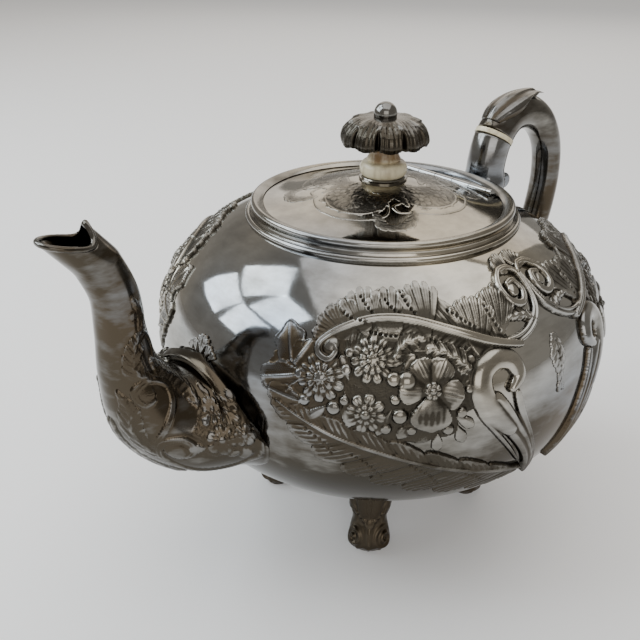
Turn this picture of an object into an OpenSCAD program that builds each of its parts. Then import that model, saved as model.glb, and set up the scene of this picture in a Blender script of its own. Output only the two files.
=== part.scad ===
// Low-bellied silver teapot on four cast feet, with a hinged flush lid,
// an insulated finial and an insulated C-scroll handle.
// The pot's axis is Z, the spout points along -X and the handle along +X.
// The feet stand on Z = 0. Millimetres throughout.

/* [Body] */
// Radius of the body at its widest
belly_r = 80; // [78:0.5:83]
// Height of the widest line above the table
belly_z = 74; // [72:0.5:77]
// Depth of the bowl below the widest line
bowl_depth = 51; // [48:0.5:53]
// Height of the shoulder above the widest line
shoulder_height = 50; // [48:0.5:52]
// Thickness of the raised sheet
wall = 1.3; // [1:0.1:1.6]

/* [Collar and lid] */
// Radius of the hole in the shoulder, and of the collar's bore
mouth_r = 42.2; // [41:0.2:43]
// Height of the collar's lip
lip_z = 123.6; // [123:0.2:124.4]
// Height of the lid's flat margin
lid_z = 122; // [121.6:0.1:122.4]
// Rise of the lid from its margin to its middle
lid_rise = 8.5; // [7:0.5:10]
// Thickness of the lid's sheet
lid_sheet = 1.1; // [0.9:0.1:1.3]
// Gap between the lid and the collar
lid_gap = 0.3; // [0.3:0.05:0.5]

/* [Hinge] */
// Distance of the hinge line from the pot's axis
hinge_x = 33; // [32:0.5:34]
// Height of the hinge line
hinge_z = 122.9; // [122.6:0.1:123.2]
// Radius of the hinge tube
hinge_tube_r = 1.6; // [1.5:0.05:1.8]
// Radius of the hinge pin
hinge_pin_r = 0.8; // [0.7:0.05:0.9]
// Radial clearance of the lid's knuckles on the pin
hinge_play = 0.05; // [0.03:0.01:0.08]

/* [Finial] */
// Radius of the flower cap
flower_r = 15.8; // [14.5:0.1:17]
// Number of petals around the flower cap
petals = 10; // [8:1:12]
// Radius of the ball nut
ball_r = 4; // [3.5:0.1:4.5]

/* [Spout] */
// Half width of the spout's root where it meets the body
root_half_w = 28.5; // [26:0.5:30]
// Half height of the spout's root
root_half_h = 19.5; // [18:0.5:21]
// Radius of the spout's neck
neck_r = 7; // [6.6:0.1:7.8]
// Diameter of the strainer holes
strainer_d = 2.6; // [2:0.2:3]

/* [Handle] */
// Radius of the handle at its sockets
handle_r = 7.4; // [6.8:0.1:7.8]
// Radius of the handle at its back
grip_r = 5.9; // [5.4:0.1:6.4]
// Thickness of the insulating rings
insulator_t = 1.8; // [1.6:0.1:2.4]

/* [Feet] */
// Distance of each foot from the pot's axis
foot_r = 38.5; // [37:0.5:42]

/* [Hidden] */

silver = [0.72, 0.70, 0.67];
dark_silver = [0.55, 0.53, 0.51];
bone = [0.90, 0.85, 0.70];

SIDES = 96;         // facets of the drawn preview; the real surfaces are true curves
BOWL_N = 2.3;       // squareness of the bowl's curve
SHOULDER_N = 2.42;  // squareness of the shoulder's curve
BITE = 0.6;         // depth to which a soldered foot, socket or root enters the sheet

// ---- Curves ---------------------------------------------------------------

// Quarter of a superellipse: 1 at t = 0, 0 at t = 1
function quarter(t, n) = t >= 1 ? 0 : pow(1 - pow(t, n), 1 / n);

// Radius of the body's skin at height z, the skin being moved inwards by inset
function skin_r(z, inset = 0) = z >= belly_z
    ? (belly_r - inset) * quarter((z - belly_z) / (shoulder_height - inset), SHOULDER_N)
    : (belly_r - inset) * quarter((belly_z - z) / (bowl_depth - inset), BOWL_N);

// Height of the shoulder and of the bowl at radius r
function shoulder_z(r, inset = 0) =
    belly_z + (shoulder_height - inset) * quarter(r / (belly_r - inset), SHOULDER_N);
function bowl_z(r, inset = 0) =
    belly_z - (bowl_depth - inset) * quarter(r / (belly_r - inset), BOWL_N);

// Distance along X from the axis to the skin, at sideways place y and height z
function skin_x(y, z, inset = 0) = sqrt(pow(skin_r(z, inset), 2) - y * y);

// Height of the lid's top at radius r
function lid_top(r) = lid_z + lid_rise * pow(1 - pow(min(r, mouth_r) / mouth_r, 2), 1.8);

// Point on a smooth curve through the stations p, at parameter u from 0 to len(p) - 1
function station(p, i) = p[max(0, min(len(p) - 1, i))];
function along(p, u) =
    let (i = min(floor(u), len(p) - 2), t = u - i,
         a = station(p, i - 1), b = station(p, i), c = station(p, i + 1), d = station(p, i + 2))
    0.5 * (2 * b + (c - a) * t + (2 * a - 5 * b + 4 * c - d) * t * t
        + (3 * b - a - 3 * c + d) * t * t * t);

// Stations are [x, z, half width, half depth]. An oval section of the swept bar at u,
// square to the curve, with skin taken off all round.
function heading(p, u) =
    let (d = along(p, min(u + 0.02, len(p) - 1)) - along(p, max(u - 0.02, 0)))
    [d[0], d[1]] / norm([d[0], d[1]]);
function oval(p, u, sides, skin = 0) =
    let (s = along(p, u), h = heading(p, u))
    [for (k = [0:sides - 1]) let (a = 360 * k / sides, w = s[2] - skin, d = s[3] - skin)
        [s[0] - h[1] * d * cos(a), -w * sin(a), s[1] + h[0] * d * cos(a)]];

// Closed skin over a list of rings. With loop = true the last ring joins the first.
module loft(rings, loop = false) {
    n = len(rings[0]);
    m = len(rings);
    last = loop ? m - 1 : m - 2;
    walls = [for (i = [0:last], k = [0:n - 1])
        let (j = (i + 1) % m, l = (k + 1) % n)
        each [[i * n + k, j * n + k, j * n + l], [i * n + k, j * n + l, i * n + l]]];
    ends = loop ? [] : [[for (k = [0:n - 1]) k], [for (k = [n - 1:-1:0]) (m - 1) * n + k]];
    polyhedron(points = [for (r = rings) each r], faces = concat(walls, ends), convexity = 8);
}

// ---- Pot ------------------------------------------------------------------

// Half outline of the body's sheet, from the middle of its floor to the collar
function body_outline(inset) =
    let (steps = 22, rim = mouth_r)
    concat(
        [for (k = [0:steps]) let (a = 90 * k / steps, r = (belly_r - inset) * pow(sin(a), 0.95))
            [r, bowl_z(r, inset)]],
        [for (k = [1:steps]) let (r0 = belly_r - inset, a = 90 * (1 - k / steps),
            r = rim + (r0 - rim) * sin(a)) [r, shoulder_z(r, inset)]]);

// Holes of the strainer: one in the middle and two rings, pierced behind the spout
module strainer_holes() {
    ring_step = 6;
    for (ring = [0:2], k = [0:max(0, 6 * ring - 1)]) {
        a = ring == 0 ? 0 : 60 * k / ring;
        translate([-belly_r - 2, ring * ring_step * cos(a), root_z + ring * ring_step * sin(a)])
            rotate([0, 90, 0]) cylinder(d = strainer_d, h = 16, $fn = 24);
    }
}

module body() {
    inside = body_outline(wall);
    color(silver) difference() {
        rotate_extrude($fn = SIDES)
            polygon(concat(body_outline(0), [for (k = [len(inside) - 1:-1:0]) inside[k]]));
        strainer_holes();
    }
}

// Points of an arc about c, from angle a0 to a1, in n steps
function arc(c, r, a0, a1, n) = [for (k = [0:n]) let (a = a0 + (a1 - a0) * k / n)
    c + r * [cos(a), sin(a)]];

// Cast moulding round the mouth: a lip bead, a hollow and a foot bead
module collar() {
    lip_bead = 1.35;
    lip_at = [mouth_r + 2.8, lip_z - lip_bead];
    foot_bead = 1.1;
    foot_at = [mouth_r + 5.1, shoulder_z(mouth_r + 5.1) + 0.6];
    hollow_r = 2.2;
    hollow_at = [mouth_r + 5.4, (lip_at[1] + foot_at[1]) / 2];
    out_r = foot_at[0] + 0.95;
    color(silver) rotate_extrude($fn = SIDES) polygon(concat(
        [[mouth_r, lid_z + 0.3], [mouth_r + 1.2, lip_z - 0.4]],
        arc(lip_at, lip_bead, 120, -40, 10),
        arc(hollow_at, hollow_r, 155, 215, 5),
        arc(foot_at, foot_bead, 130, -20, 8),
        [for (k = [0:6]) let (r = out_r + (mouth_r - out_r) * k / 6) [r, shoulder_z(r)]]));
}

// Ledge inside the collar that carries the lid's margin
module lid_seat() {
    ledge = 3;
    thick = 1.2;
    color(dark_silver) difference() {
        translate([0, 0, lid_z - lid_sheet - thick]) cylinder(r = mouth_r, h = thick, $fn = SIDES);
        translate([0, 0, lid_z - 5]) cylinder(r = mouth_r - ledge, h = 10, $fn = SIDES);
    }
}

// Domed disc of the lid's sheet, out to radius r
module dome_sheet(r) {
    steps = 14;
    rotate_extrude($fn = SIDES) polygon(concat(
        [for (k = [0:steps]) [r * k / steps, lid_top(r * k / steps)]],
        [for (k = [steps:-1:0]) [r * k / steps, lid_top(r * k / steps) - lid_sheet]]));
}

// Keeps what lies on the spout's side (side = -1) or the handle's side (side = 1)
// of a plane that stands off from the hinge line
module split_at_hinge(side, standoff) {
    big = 200;
    intersection() {
        children();
        translate([hinge_x + side * (standoff + big / 2), 0, 100]) cube(big, center = true);
    }
}

hinge_gap = 0.3;
hinge_edge = hinge_tube_r + hinge_gap;

// Fixed segment of the cover behind the hinge
module rear_plate() {
    color(silver) split_at_hinge(1, hinge_edge) dome_sheet(mouth_r);
}

// The hinge's half length, and the ends of its knuckles out from its middle
lug_l = hinge_edge + 0.6;
hinge_half = sqrt(pow(mouth_r, 2) - pow(hinge_x + lug_l, 2)) - hinge_gap;
knuckle_gap = 0.3;
knuckle_ends = [4.2, 12.4, 20.3];

// One knuckle from y0 to y1, with a lug that reaches sheet on the given side
module knuckle(y0, y1, side, bore_r) {
    length = y1 - y0 - knuckle_gap;
    color(dark_silver) translate([hinge_x, y0 + knuckle_gap / 2, hinge_z]) difference() {
        union() {
            rotate([-90, 0, 0]) cylinder(r = hinge_tube_r, h = length, $fn = 48);
            translate([side > 0 ? 0 : -lug_l, 0, -hinge_tube_r]) cube([lug_l, length, 1]);
        }
        translate([0, -1, 0]) rotate([-90, 0, 0]) cylinder(r = bore_r, h = length + 2, $fn = 48);
    }
}

module pot_knuckles() {
    bore = hinge_pin_r;
    for (m = [0, 1]) mirror([0, m, 0]) {
        knuckle(knuckle_ends[0], knuckle_ends[1], 1, bore);
        knuckle(knuckle_ends[2], hinge_half, 1, bore);
    }
}

module lid_knuckles() {
    bore = hinge_pin_r + hinge_play;
    knuckle(-knuckle_ends[0], knuckle_ends[0], -1, bore);
    for (m = [0, 1]) mirror([0, m, 0]) knuckle(knuckle_ends[1], knuckle_ends[2], -1, bore);
}

module hinge_pin() {
    color(dark_silver) translate([hinge_x, -hinge_half, hinge_z])
        rotate([-90, 0, 0]) cylinder(r = hinge_pin_r, h = 2 * hinge_half, $fn = 48);
}

// ---- Lid ------------------------------------------------------------------

stud_r = 1.5;
dome_z = lid_top(0);

module lid() {
    color(silver) difference() {
        split_at_hinge(-1, hinge_edge) dome_sheet(mouth_r - lid_gap);
        translate([0, 0, lid_z - 5]) cylinder(r = stud_r, h = 30, $fn = 48);
    }
}

// Flange under the lid that drops inside the seat, cut short of the hinge
module lid_bezel() {
    outer = mouth_r - 3.5;
    inner = outer - 1;
    bottom = lid_z - 6;
    hinge_room = 4;
    color(dark_silver) split_at_hinge(-1, hinge_room) rotate_extrude($fn = SIDES) polygon([
        [inner, bottom], [outer, bottom],
        [outer, lid_top(outer) - lid_sheet], [inner, lid_top(inner) - lid_sheet]]);
}

// Stepped silver ferrule on which the spool stands
module finial_ferrule() {
    color(dark_silver) rotate_extrude($fn = SIDES) polygon([
        [stud_r, dome_z], [4, dome_z - 0.05], [8.4, lid_top(8.4)], [8.4, dome_z],
        [7.6, dome_z + 0.6], [stud_r, dome_z + 0.6]]);
}

spool_z = dome_z + 0.6;
flower_z = 142.2;

// Turned insulator: a fat bead below a short waisted neck
module finial_spool() {
    bead_r = 8.3;
    bead_h = 6.2;
    round_r = 2.4;
    color(bone) rotate_extrude($fn = SIDES) polygon(concat(
        [[stud_r, spool_z]],
        [for (a = [-65:10:65])
            [bead_r - round_r + round_r * cos(a), spool_z + bead_h / 2 * (1 + sin(a) / sin(65))]],
        [[5.6, spool_z + bead_h + 0.4], [5.4, spool_z + bead_h + 1.6], [6.4, flower_z + 0.8]],
        [[stud_r, flower_z + 0.8]]));
}

// Height above its rim of the flower cap's crown
crown_h = 9.4;

// One ring of the flower cap, at parameter t from the rim (0) to the crown (1)
function flower_ring(t, sides, skin) = [for (k = [0:sides - 1])
    let (a = 360 * k / sides,
         lobe = 0.9 + 0.1 * sqrt(abs(cos(petals * a / 2))),
         r = 4 + (flower_r - 4) * cos(90 * t) * lobe - skin)
    [r * cos(a), r * sin(a), flower_z + crown_h * sin(90 * t) - skin * t]];

// Hollow cast cap of drooping petals
module finial_flower() {
    sides = petals * 8;
    skin = 1.2;
    steps = 7;
    color(dark_silver) difference() {
        loft(concat(
            [for (k = [0:steps]) flower_ring(k / steps, sides, 0)],
            [[for (p = flower_ring(1, sides, 0)) [p[0] * 0.5, p[1] * 0.5, p[2] + 0.2]]]));
        translate([0, 0, flower_z - 1]) rotate_extrude($fn = SIDES)
            polygon([[6.6, 0], [flower_r * 0.8, 0], [flower_r * 0.7, 3.6], [6.6, 5.5]]);
        translate([0, 0, flower_z - 1]) cylinder(r = 6.6, h = 1.8, $fn = 48);
        translate([0, 0, flower_z - 1]) cylinder(r = stud_r, h = 30, $fn = 48);
    }
}

ball_z = 152.5;

// Ball with a short collar, tapped for the stud
module ball_nut() {
    collar_z = flower_z + crown_h + 0.2;
    depth = 3;
    color(dark_silver) difference() {
        translate([0, 0, ball_z]) sphere(r = ball_r, $fn = 64);
        translate([0, 0, collar_z - 20]) cylinder(r = 10, h = 20, $fn = 48);
        translate([0, 0, collar_z - 1]) cylinder(r = stud_r, h = depth, $fn = 48);
    }
}

// Threaded rod that clamps the finial to the lid
module finial_stud() {
    bottom = lid_z + 2.6;
    color(dark_silver) translate([0, 0, bottom])
        cylinder(r = stud_r, h = flower_z + crown_h + 2.2 - bottom, $fn = 48);
}

washer_z = dome_z - lid_sheet - 0.1;

module finial_washer() {
    washer_r = 5.5;
    slack = 0.05;
    color(silver) rotate_extrude($fn = SIDES) polygon([
        [stud_r, washer_z - 1], [washer_r, washer_z - 1],
        [washer_r, lid_top(washer_r) - lid_sheet - slack], [stud_r, dome_z - lid_sheet - slack]]);
}

module finial_nut() {
    nut_r = 3.6;
    nut_h = 2.4;
    color(dark_silver) translate([0, 0, washer_z - 1 - nut_h]) difference() {
        cylinder(r = nut_r, h = nut_h, $fn = 6);
        translate([0, 0, -1]) cylinder(r = stud_r, h = nut_h + 2, $fn = 48);
    }
}

// ---- Spout ----------------------------------------------------------------

root_z = 69;

// Stations of the spout: [x, z, half width, half depth]
SPOUT = [
    [-77, root_z, root_half_w, root_half_h],
    [-88, 69.5, 23, 17],
    [-98, 77.5, 15.5, 14],
    [-103.8, 91, 10, 9.6],
    [-105.4, 104, neck_r + 0.6, neck_r + 0.6],
    [-106.2, 117, neck_r, neck_r],
    [-110.5, 128, neck_r - 0.3, neck_r - 0.2]];

tip = [-126.5, 137];    // end of the lip
throat = [-108.5, 133];   // back of the mouth
hood_h = 6.5;           // height of the pointed hood above the throat
mouth_half_w = 6.8;     // half width of the mouth

// Root ring, laid on the body's skin and let into it
function root_ring(sides, skin) = [for (k = [0:sides - 1])
    let (a = 360 * k / sides, y = (skin - root_half_w) * sin(a),
         z = root_z - (root_half_h - skin) * cos(a))
    [-skin_x(y, z, BITE), y, z]];

// Mouth ring: an oval that slopes from the tip back to the throat, with a hood behind
function mouth_ring(sides, skin) = [for (k = [0:sides - 1])
    let (a = 360 * k / sides, mid = (tip + throat) / 2, half = (throat[0] - tip[0]) / 2 - skin,
         x = mid[0] - half * cos(a), y = (skin - mouth_half_w) * sin(a),
         slope = (throat[1] - tip[1]) / (throat[0] - tip[0]),
         hood = hood_h * pow(max(0, -cos(a)), 6))
    [x - 0.5 * hood, y, mid[1] + slope * (x - mid[0]) + hood]];

module spout() {
    sides = 32;
    per_station = 4;
    last = len(SPOUT) - 1;
    steps = last * per_station;
    turns = [for (k = [1:steps]) k / per_station];
    outer = concat([root_ring(sides, 0)],
        [for (u = turns) oval(SPOUT, u, sides)], [mouth_ring(sides, 0)]);
    inner = concat([root_ring(sides, wall)],
        [for (u = turns) oval(SPOUT, u, sides, wall)], [mouth_ring(sides, wall)]);
    color(dark_silver)
        loft(concat(outer, [for (k = [len(inner) - 1:-1:0]) inner[k]]), loop = true);
}

// ---- Handle ---------------------------------------------------------------

// Stations of the whole handle from the shoulder to the belly
HANDLE = [
    [56.5, 104, handle_r + 0.6, handle_r + 0.6],
    [56.5, 116, handle_r, handle_r],
    [57, 126, handle_r, handle_r],
    [60.5, 135.5, handle_r, handle_r],
    [68, 141.5, handle_r - 0.4, handle_r - 0.4],
    [78, 142, handle_r - 0.5, handle_r - 0.6],
    [88, 137, grip_r + 0.6, grip_r + 0.5],
    [95, 127, grip_r + 0.2, grip_r],
    [97.3, 114, grip_r, grip_r],
    [95.5, 100, grip_r, grip_r],
    [91, 88, grip_r, grip_r],
    [84, 79, grip_r + 0.4, grip_r + 0.4],
    [74, 74, grip_r + 1, grip_r + 1]];

upper_cut = 2.92;   // parameter of the upper insulator's middle on the handle
lower_cut = 10.45;  // parameter of the lower insulator's middle
tenon_l = 6;        // length of each insulator's tenons
tenon_r = 3.6;
pin_r = 0.8;

// Turns Z to the handle's heading at u, and moves the origin there
module at_handle(u) {
    s = along(HANDLE, u);
    h = heading(HANDLE, u);
    translate([s[0], 0, s[1]]) rotate([0, atan2(h[0], h[1]), 0]) children();
}

// Part of the handle between two parameters
module handle_bar(from, to, steps) {
    loft([for (k = [0:steps]) oval(HANDLE, from + (to - from) * k / steps, 28)]);
}

// Ring with a tenon to each side, drilled for its pins
module insulator(u) {
    s = along(HANDLE, u);
    color(bone) at_handle(u) difference() {
        union() {
            cylinder(r = s[2] + 0.25, h = insulator_t, center = true, $fn = 64);
            cylinder(r = tenon_r, h = insulator_t + 2 * tenon_l, center = true, $fn = 48);
        }
        pin_pair(pin_r);
    }
}

// The two cross pins that hold one insulator
module pin_pair(r, length = 40) {
    for (side = [-1, 1]) translate([0, 0, side * (insulator_t / 2 + tenon_l / 2)])
        rotate([90, 0, 0]) cylinder(r = r, h = length, center = true, $fn = 32);
}

// Room for the ring, the tenon and the pins of an insulator
module insulator_room(u) {
    at_handle(u) {
        cylinder(r = 12, h = insulator_t, center = true, $fn = 48);
        cylinder(r = tenon_r, h = insulator_t + 2 * tenon_l, center = true, $fn = 48);
        pin_pair(pin_r);
    }
}

// Skin of the body as a solid, for parts that are fitted to it
module fitted_to_body() {
    difference() {
        children();
        rotate_extrude($fn = SIDES) polygon(concat(
            body_outline(BITE), [[0, shoulder_z(mouth_r, BITE)]]));
    }
}

// Scroll bud on the side of the grip
bud_at = [66.6, 116.5];
bud_r = 3.2;

module upper_socket() {
    color(dark_silver) difference() {
        union() {
            fitted_to_body() handle_bar(0, upper_cut, 12);
            translate([bud_at[0], 0, bud_at[1]]) rotate([90, 0, 0])
                cylinder(r = bud_r, h = 6, center = true, $fn = 32);
        }
        insulator_room(upper_cut);
    }
}

module upper_insulator() { insulator(upper_cut); }

module upper_pins() {
    color(dark_silver) at_handle(upper_cut) pin_pair(pin_r, 2 * handle_r - 0.6);
}

module handle_loop() {
    color(dark_silver) difference() {
        handle_bar(upper_cut, lower_cut, 30);
        insulator_room(upper_cut);
        insulator_room(lower_cut);
    }
}

// Acanthus leaf laid over the top of the loop as a thumb rest
module thumb_leaf() {
    steps = 12;
    leaf_t = 0.9;
    from = upper_cut + 0.3;
    to = 5.45;
    // one ring of the leaf: an arc that hugs the bar's upper side, widest in mid leaf
    function leaf_ring(u, t) =
        let (s = along(HANDLE, u), h = heading(HANDLE, u),
             spread = 22 + 50 * sin(180 * min(1, t * 1.05 + 0.05)),
             lift = 3 * pow(t, 3))
        concat(
            [for (k = [-6:6]) let (a = spread * k / 6)
                [s[0] - h[1] * (s[3] + lift + leaf_t) * cos(a),
                 -(s[2] + lift + leaf_t) * sin(a),
                 s[1] + h[0] * (s[3] + lift + leaf_t) * cos(a)]],
            [for (k = [6:-1:-6]) let (a = spread * k / 6)
                [s[0] - h[1] * (s[3] + 0.02) * cos(a), -(s[2] + 0.02) * sin(a),
                 s[1] + h[0] * (s[3] + 0.02) * cos(a)]]);
    color(dark_silver)
        loft([for (k = [0:steps]) leaf_ring(from + (to - from) * k / steps, k / steps)]);
}

module lower_insulator() { insulator(lower_cut); }

module lower_pins() {
    color(dark_silver) at_handle(lower_cut) pin_pair(pin_r, 2 * grip_r - 0.6);
}

module lower_socket() {
    color(dark_silver) difference() {
        fitted_to_body() handle_bar(lower_cut, len(HANDLE) - 1, 8);
        insulator_room(lower_cut);
    }
}

// ---- Feet -----------------------------------------------------------------

// Stations of a foot: [distance from the axis, height, half width, half depth]
FOOT = [
    [foot_r, 0, 6.4, 5],
    [foot_r + 1, 3, 8, 6.6],
    [foot_r + 0.5, 8, 7.4, 5.6],
    [foot_r - 1, 13, 6.4, 4.8],
    [foot_r - 1.5, 18, 7.6, 5],
    [foot_r - 2.5, 24, 8.8, 6],
    [foot_r - 4, 29, 9.4, 7]];

// Cast scroll foot. Its top ring is laid on the bowl and let into it.
module foot(turn) {
    sides = 24;
    levels = [for (k = [0:0.5:len(FOOT) - 1]) k];
    body_rings = [for (u = levels) let (s = along(FOOT, u)) [for (k = [0:sides - 1])
        let (a = 360 * k / sides) [s[0] + s[3] * cos(a), s[2] * sin(a), s[1]]]];
    top = station(FOOT, len(FOOT) - 1);
    top_ring = [for (k = [0:sides - 1]) let (a = 360 * k / sides,
        x = top[0] + (top[3] + 0.4) * cos(a), y = (top[2] + 0.4) * sin(a))
        [x, y, bowl_z(norm([x, y]), BITE)]];
    low = [for (r = body_rings) [for (k = [0:sides - 1])
        let (p = r[k]) [p[0], p[1], min(p[2], bowl_z(norm([p[0], p[1]])) - 0.5)]]];
    color(dark_silver) rotate([0, 0, turn]) loft(concat(low, [top_ring]));
}

module foot_front_left() { foot(-135); }
module foot_front_right() { foot(135); }
module foot_rear_left() { foot(-45); }
module foot_rear_right() { foot(45); }

body();
collar();
lid_seat();
rear_plate();
pot_knuckles();
hinge_pin();
spout();
foot_front_left();
foot_front_right();
foot_rear_left();
foot_rear_right();
upper_socket();
upper_insulator();
upper_pins();
handle_loop();
thumb_leaf();
lower_insulator();
lower_pins();
lower_socket();
lid();
lid_bezel();
lid_knuckles();
finial_ferrule();
finial_spool();
finial_flower();
finial_stud();
ball_nut();
finial_washer();
finial_nut();
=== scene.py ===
"""The looks of a chased silver teapot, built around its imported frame."""
import math

import bpy
import numpy as np
from mathutils import Matrix, Vector


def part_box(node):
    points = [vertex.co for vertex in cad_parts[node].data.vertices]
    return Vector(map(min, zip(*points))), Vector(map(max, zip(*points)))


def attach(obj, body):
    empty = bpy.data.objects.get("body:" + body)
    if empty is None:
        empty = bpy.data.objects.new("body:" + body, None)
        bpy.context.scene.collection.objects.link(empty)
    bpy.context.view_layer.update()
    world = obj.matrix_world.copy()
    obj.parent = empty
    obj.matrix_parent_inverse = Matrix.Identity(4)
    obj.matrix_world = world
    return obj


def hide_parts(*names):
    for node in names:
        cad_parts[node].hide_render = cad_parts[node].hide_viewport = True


bl_info = {
    "name": "Chased Silver Teapot",
    "version": (1, 0, 0),
    "blender": (4, 5, 0),
    "location": "View3D > Sidebar > Teapot",
    "description": "Builds the detailed pieces and finishes of a chased silver teapot",
    "category": "Add Mesh",
}

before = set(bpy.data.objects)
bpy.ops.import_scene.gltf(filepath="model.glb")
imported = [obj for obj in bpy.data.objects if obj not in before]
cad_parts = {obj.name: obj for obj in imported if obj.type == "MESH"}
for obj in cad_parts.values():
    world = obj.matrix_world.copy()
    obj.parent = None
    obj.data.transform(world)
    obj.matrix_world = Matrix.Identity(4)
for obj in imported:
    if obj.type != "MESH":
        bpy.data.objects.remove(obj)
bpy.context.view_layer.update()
MM = 0.001
TURN = 2 * math.pi


# ---- Small functions ---------------------------------------------------------------

def unit(x):
    """x kept between 0 and 1."""
    return np.clip(x, 0, 1)


def bump(x, width):
    """Soft ridge: 1 at x = 0, gone a few widths away."""
    return np.exp(-(x / width) ** 2)


def round_top(d):
    """Half-round section: 1 at d = 0, 0 from d = 1 on."""
    return np.sqrt(unit(1 - d ** 2))


# ---- Shape of the pot, in millimetres ---------------------------------------

def node_box(node):
    """Lowest and highest corner of a frame node, in millimetres."""
    low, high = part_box(node)
    return np.array(low) / MM, np.array(high) / MM


BELLY_R = node_box("body")[1][1]
BELLY_Z = 74.0
BOWL_DEPTH = BELLY_Z - node_box("body")[0][2]
SHOULDER = 50.0
BOWL_N = 2.3
SHOULDER_N = 2.42
MOUTH_R = 42.2
LIP_Z = node_box("collar")[1][2]
LID_Z = 122.0
LID_RISE = 8.5
LID_SHEET = 1.1
HINGE_X = 33.0
HINGE_R = 1.6
DOME_Z = LID_Z + LID_RISE
FLOWER_Z = 142.2
BALL_Z = 152.5


def quarter(t, n):
    """Quarter of a superellipse: 1 at t = 0, 0 at t = 1."""
    return (1 - unit(t) ** n) ** (1 / n)


def skin_r(z):
    """Radius of the body's skin at height z."""
    up = BELLY_R * quarter((z - BELLY_Z) / SHOULDER, SHOULDER_N)
    down = BELLY_R * quarter((BELLY_Z - z) / BOWL_DEPTH, BOWL_N)
    return np.where(z >= BELLY_Z, up, down)


def lid_top(r):
    """Height of the lid's top at radius r."""
    return LID_Z + LID_RISE * (1 - unit(r / MOUTH_R) ** 2) ** 1.8


# The skin's outline by its own length, counted up from the widest line
_angle = np.linspace(-math.pi / 2, math.pi / 2, 4001)
_z = BELLY_Z + np.where(_angle < 0, BOWL_DEPTH, SHOULDER) * np.sin(_angle)
_r = skin_r(_z)
_run = np.concatenate([[0], np.cumsum(np.hypot(np.diff(_r), np.diff(_z)))])
_run -= np.interp(BELLY_Z, _z, _run)


def on_skin(u, v, lift=0.0):
    """Points on the body: u runs round it from -Y towards +X, v up from the widest line."""
    r, z = np.interp(v, _run, _r), np.interp(v, _run, _z)
    step = 0.2
    dr = np.interp(v + step, _run, _r) - np.interp(v - step, _run, _r)
    dz = np.interp(v + step, _run, _z) - np.interp(v - step, _run, _z)
    length = np.hypot(dr, dz)
    r, z = r + lift * dz / length, z - lift * dr / length
    turn = u / BELLY_R
    return np.stack([r * np.sin(turn), -r * np.cos(turn), z], -1)


def along(stations, u):
    """Smooth curve through stations, at parameter u from 0 to len - 1."""
    p = np.asarray(stations, float)
    u = np.atleast_1d(u)
    i = np.clip(np.floor(u).astype(int), 0, len(p) - 2)
    t = (u - i)[:, None]
    a, b = p[np.maximum(i - 1, 0)], p[i]
    c, d = p[i + 1], p[np.minimum(i + 2, len(p) - 1)]
    return 0.5 * (2 * b + (c - a) * t + (2 * a - 5 * b + 4 * c - d) * t ** 2
                  + (3 * b - a - 3 * c + d) * t ** 3)


# ---- Mesh helpers -------------------------------------------------------------

def leave_edit():
    if bpy.context.object and bpy.context.object.mode != "OBJECT":
        bpy.ops.object.mode_set(mode="OBJECT")
    bpy.ops.object.select_all(action="DESELECT")


def only(piece):
    """Makes piece the one selected, active object."""
    leave_edit()
    piece.select_set(True)
    bpy.context.view_layer.objects.active = piece


def smooth(piece, angle=40):
    """Shades a piece smooth, except at edges sharper than the angle in degrees."""
    only(piece)
    bpy.ops.object.shade_smooth_by_angle(angle=math.radians(angle))


def spun(name, outline, steps=128, rounds=1, angle=50):
    """A turned piece: the outline, [radius, height] in millimetres, drawn by extruding one
    point and spun about Z. A closed outline repeats its first point."""
    leave_edit()
    r0, z0 = outline[0]
    bpy.ops.mesh.primitive_plane_add(size=MM, location=(r0 * MM, 0, z0 * MM))
    piece = bpy.context.object
    piece.name = piece.data.name = name
    bpy.ops.object.transform_apply(location=True)
    bpy.ops.object.mode_set(mode="EDIT")
    bpy.ops.mesh.select_all(action="SELECT")
    bpy.ops.mesh.merge(type="CENTER")
    for (ra, za), (rb, zb) in zip(outline, outline[1:]):
        bpy.ops.mesh.extrude_region_move(
            TRANSFORM_OT_translate={"value": ((rb - ra) * MM, 0, (zb - za) * MM)})
    bpy.ops.mesh.select_all(action="SELECT")
    bpy.ops.mesh.spin(steps=steps, angle=TURN, center=(0, 0, 0), axis=(0, 0, 1))
    bpy.ops.mesh.select_all(action="SELECT")
    bpy.ops.mesh.remove_doubles(threshold=0.00001)
    bpy.ops.mesh.dissolve_degenerate(threshold=0.000001)
    bpy.ops.mesh.select_all(action="SELECT")
    bpy.ops.mesh.normals_make_consistent(inside=False)
    bpy.ops.object.mode_set(mode="OBJECT")
    if rounds:
        subdivide(piece, rounds)
    smooth(piece, angle)
    return piece


def subdivide(piece, levels):
    only(piece)
    mod = piece.modifiers.new("smooth", "SUBSURF")
    mod.levels = mod.render_levels = levels
    bpy.ops.object.modifier_apply(modifier=mod.name)


def bevel(piece, width, segments=3, angle=35):
    only(piece)
    mod = piece.modifiers.new("edge", "BEVEL")
    mod.width, mod.segments = width * MM, segments
    mod.limit_method, mod.angle_limit = "ANGLE", math.radians(angle)
    bpy.ops.object.modifier_apply(modifier=mod.name)


def from_arrays(name, points, faces, **shades):
    """A mesh piece from points in millimetres, faces, and values for each point."""
    leave_edit()
    mesh = bpy.data.meshes.new(name)
    faces = faces if isinstance(faces, list) else faces.tolist()
    mesh.from_pydata((np.asarray(points) * MM).tolist(), [], faces)
    for key, values in shades.items():
        layer = mesh.attributes.new(key, "FLOAT", "POINT")
        layer.data.foreach_set("value", np.asarray(values, np.float32).ravel())
    mesh.shade_smooth()
    piece = bpy.data.objects.new(name, mesh)
    bpy.context.collection.objects.link(piece)
    return piece


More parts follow.
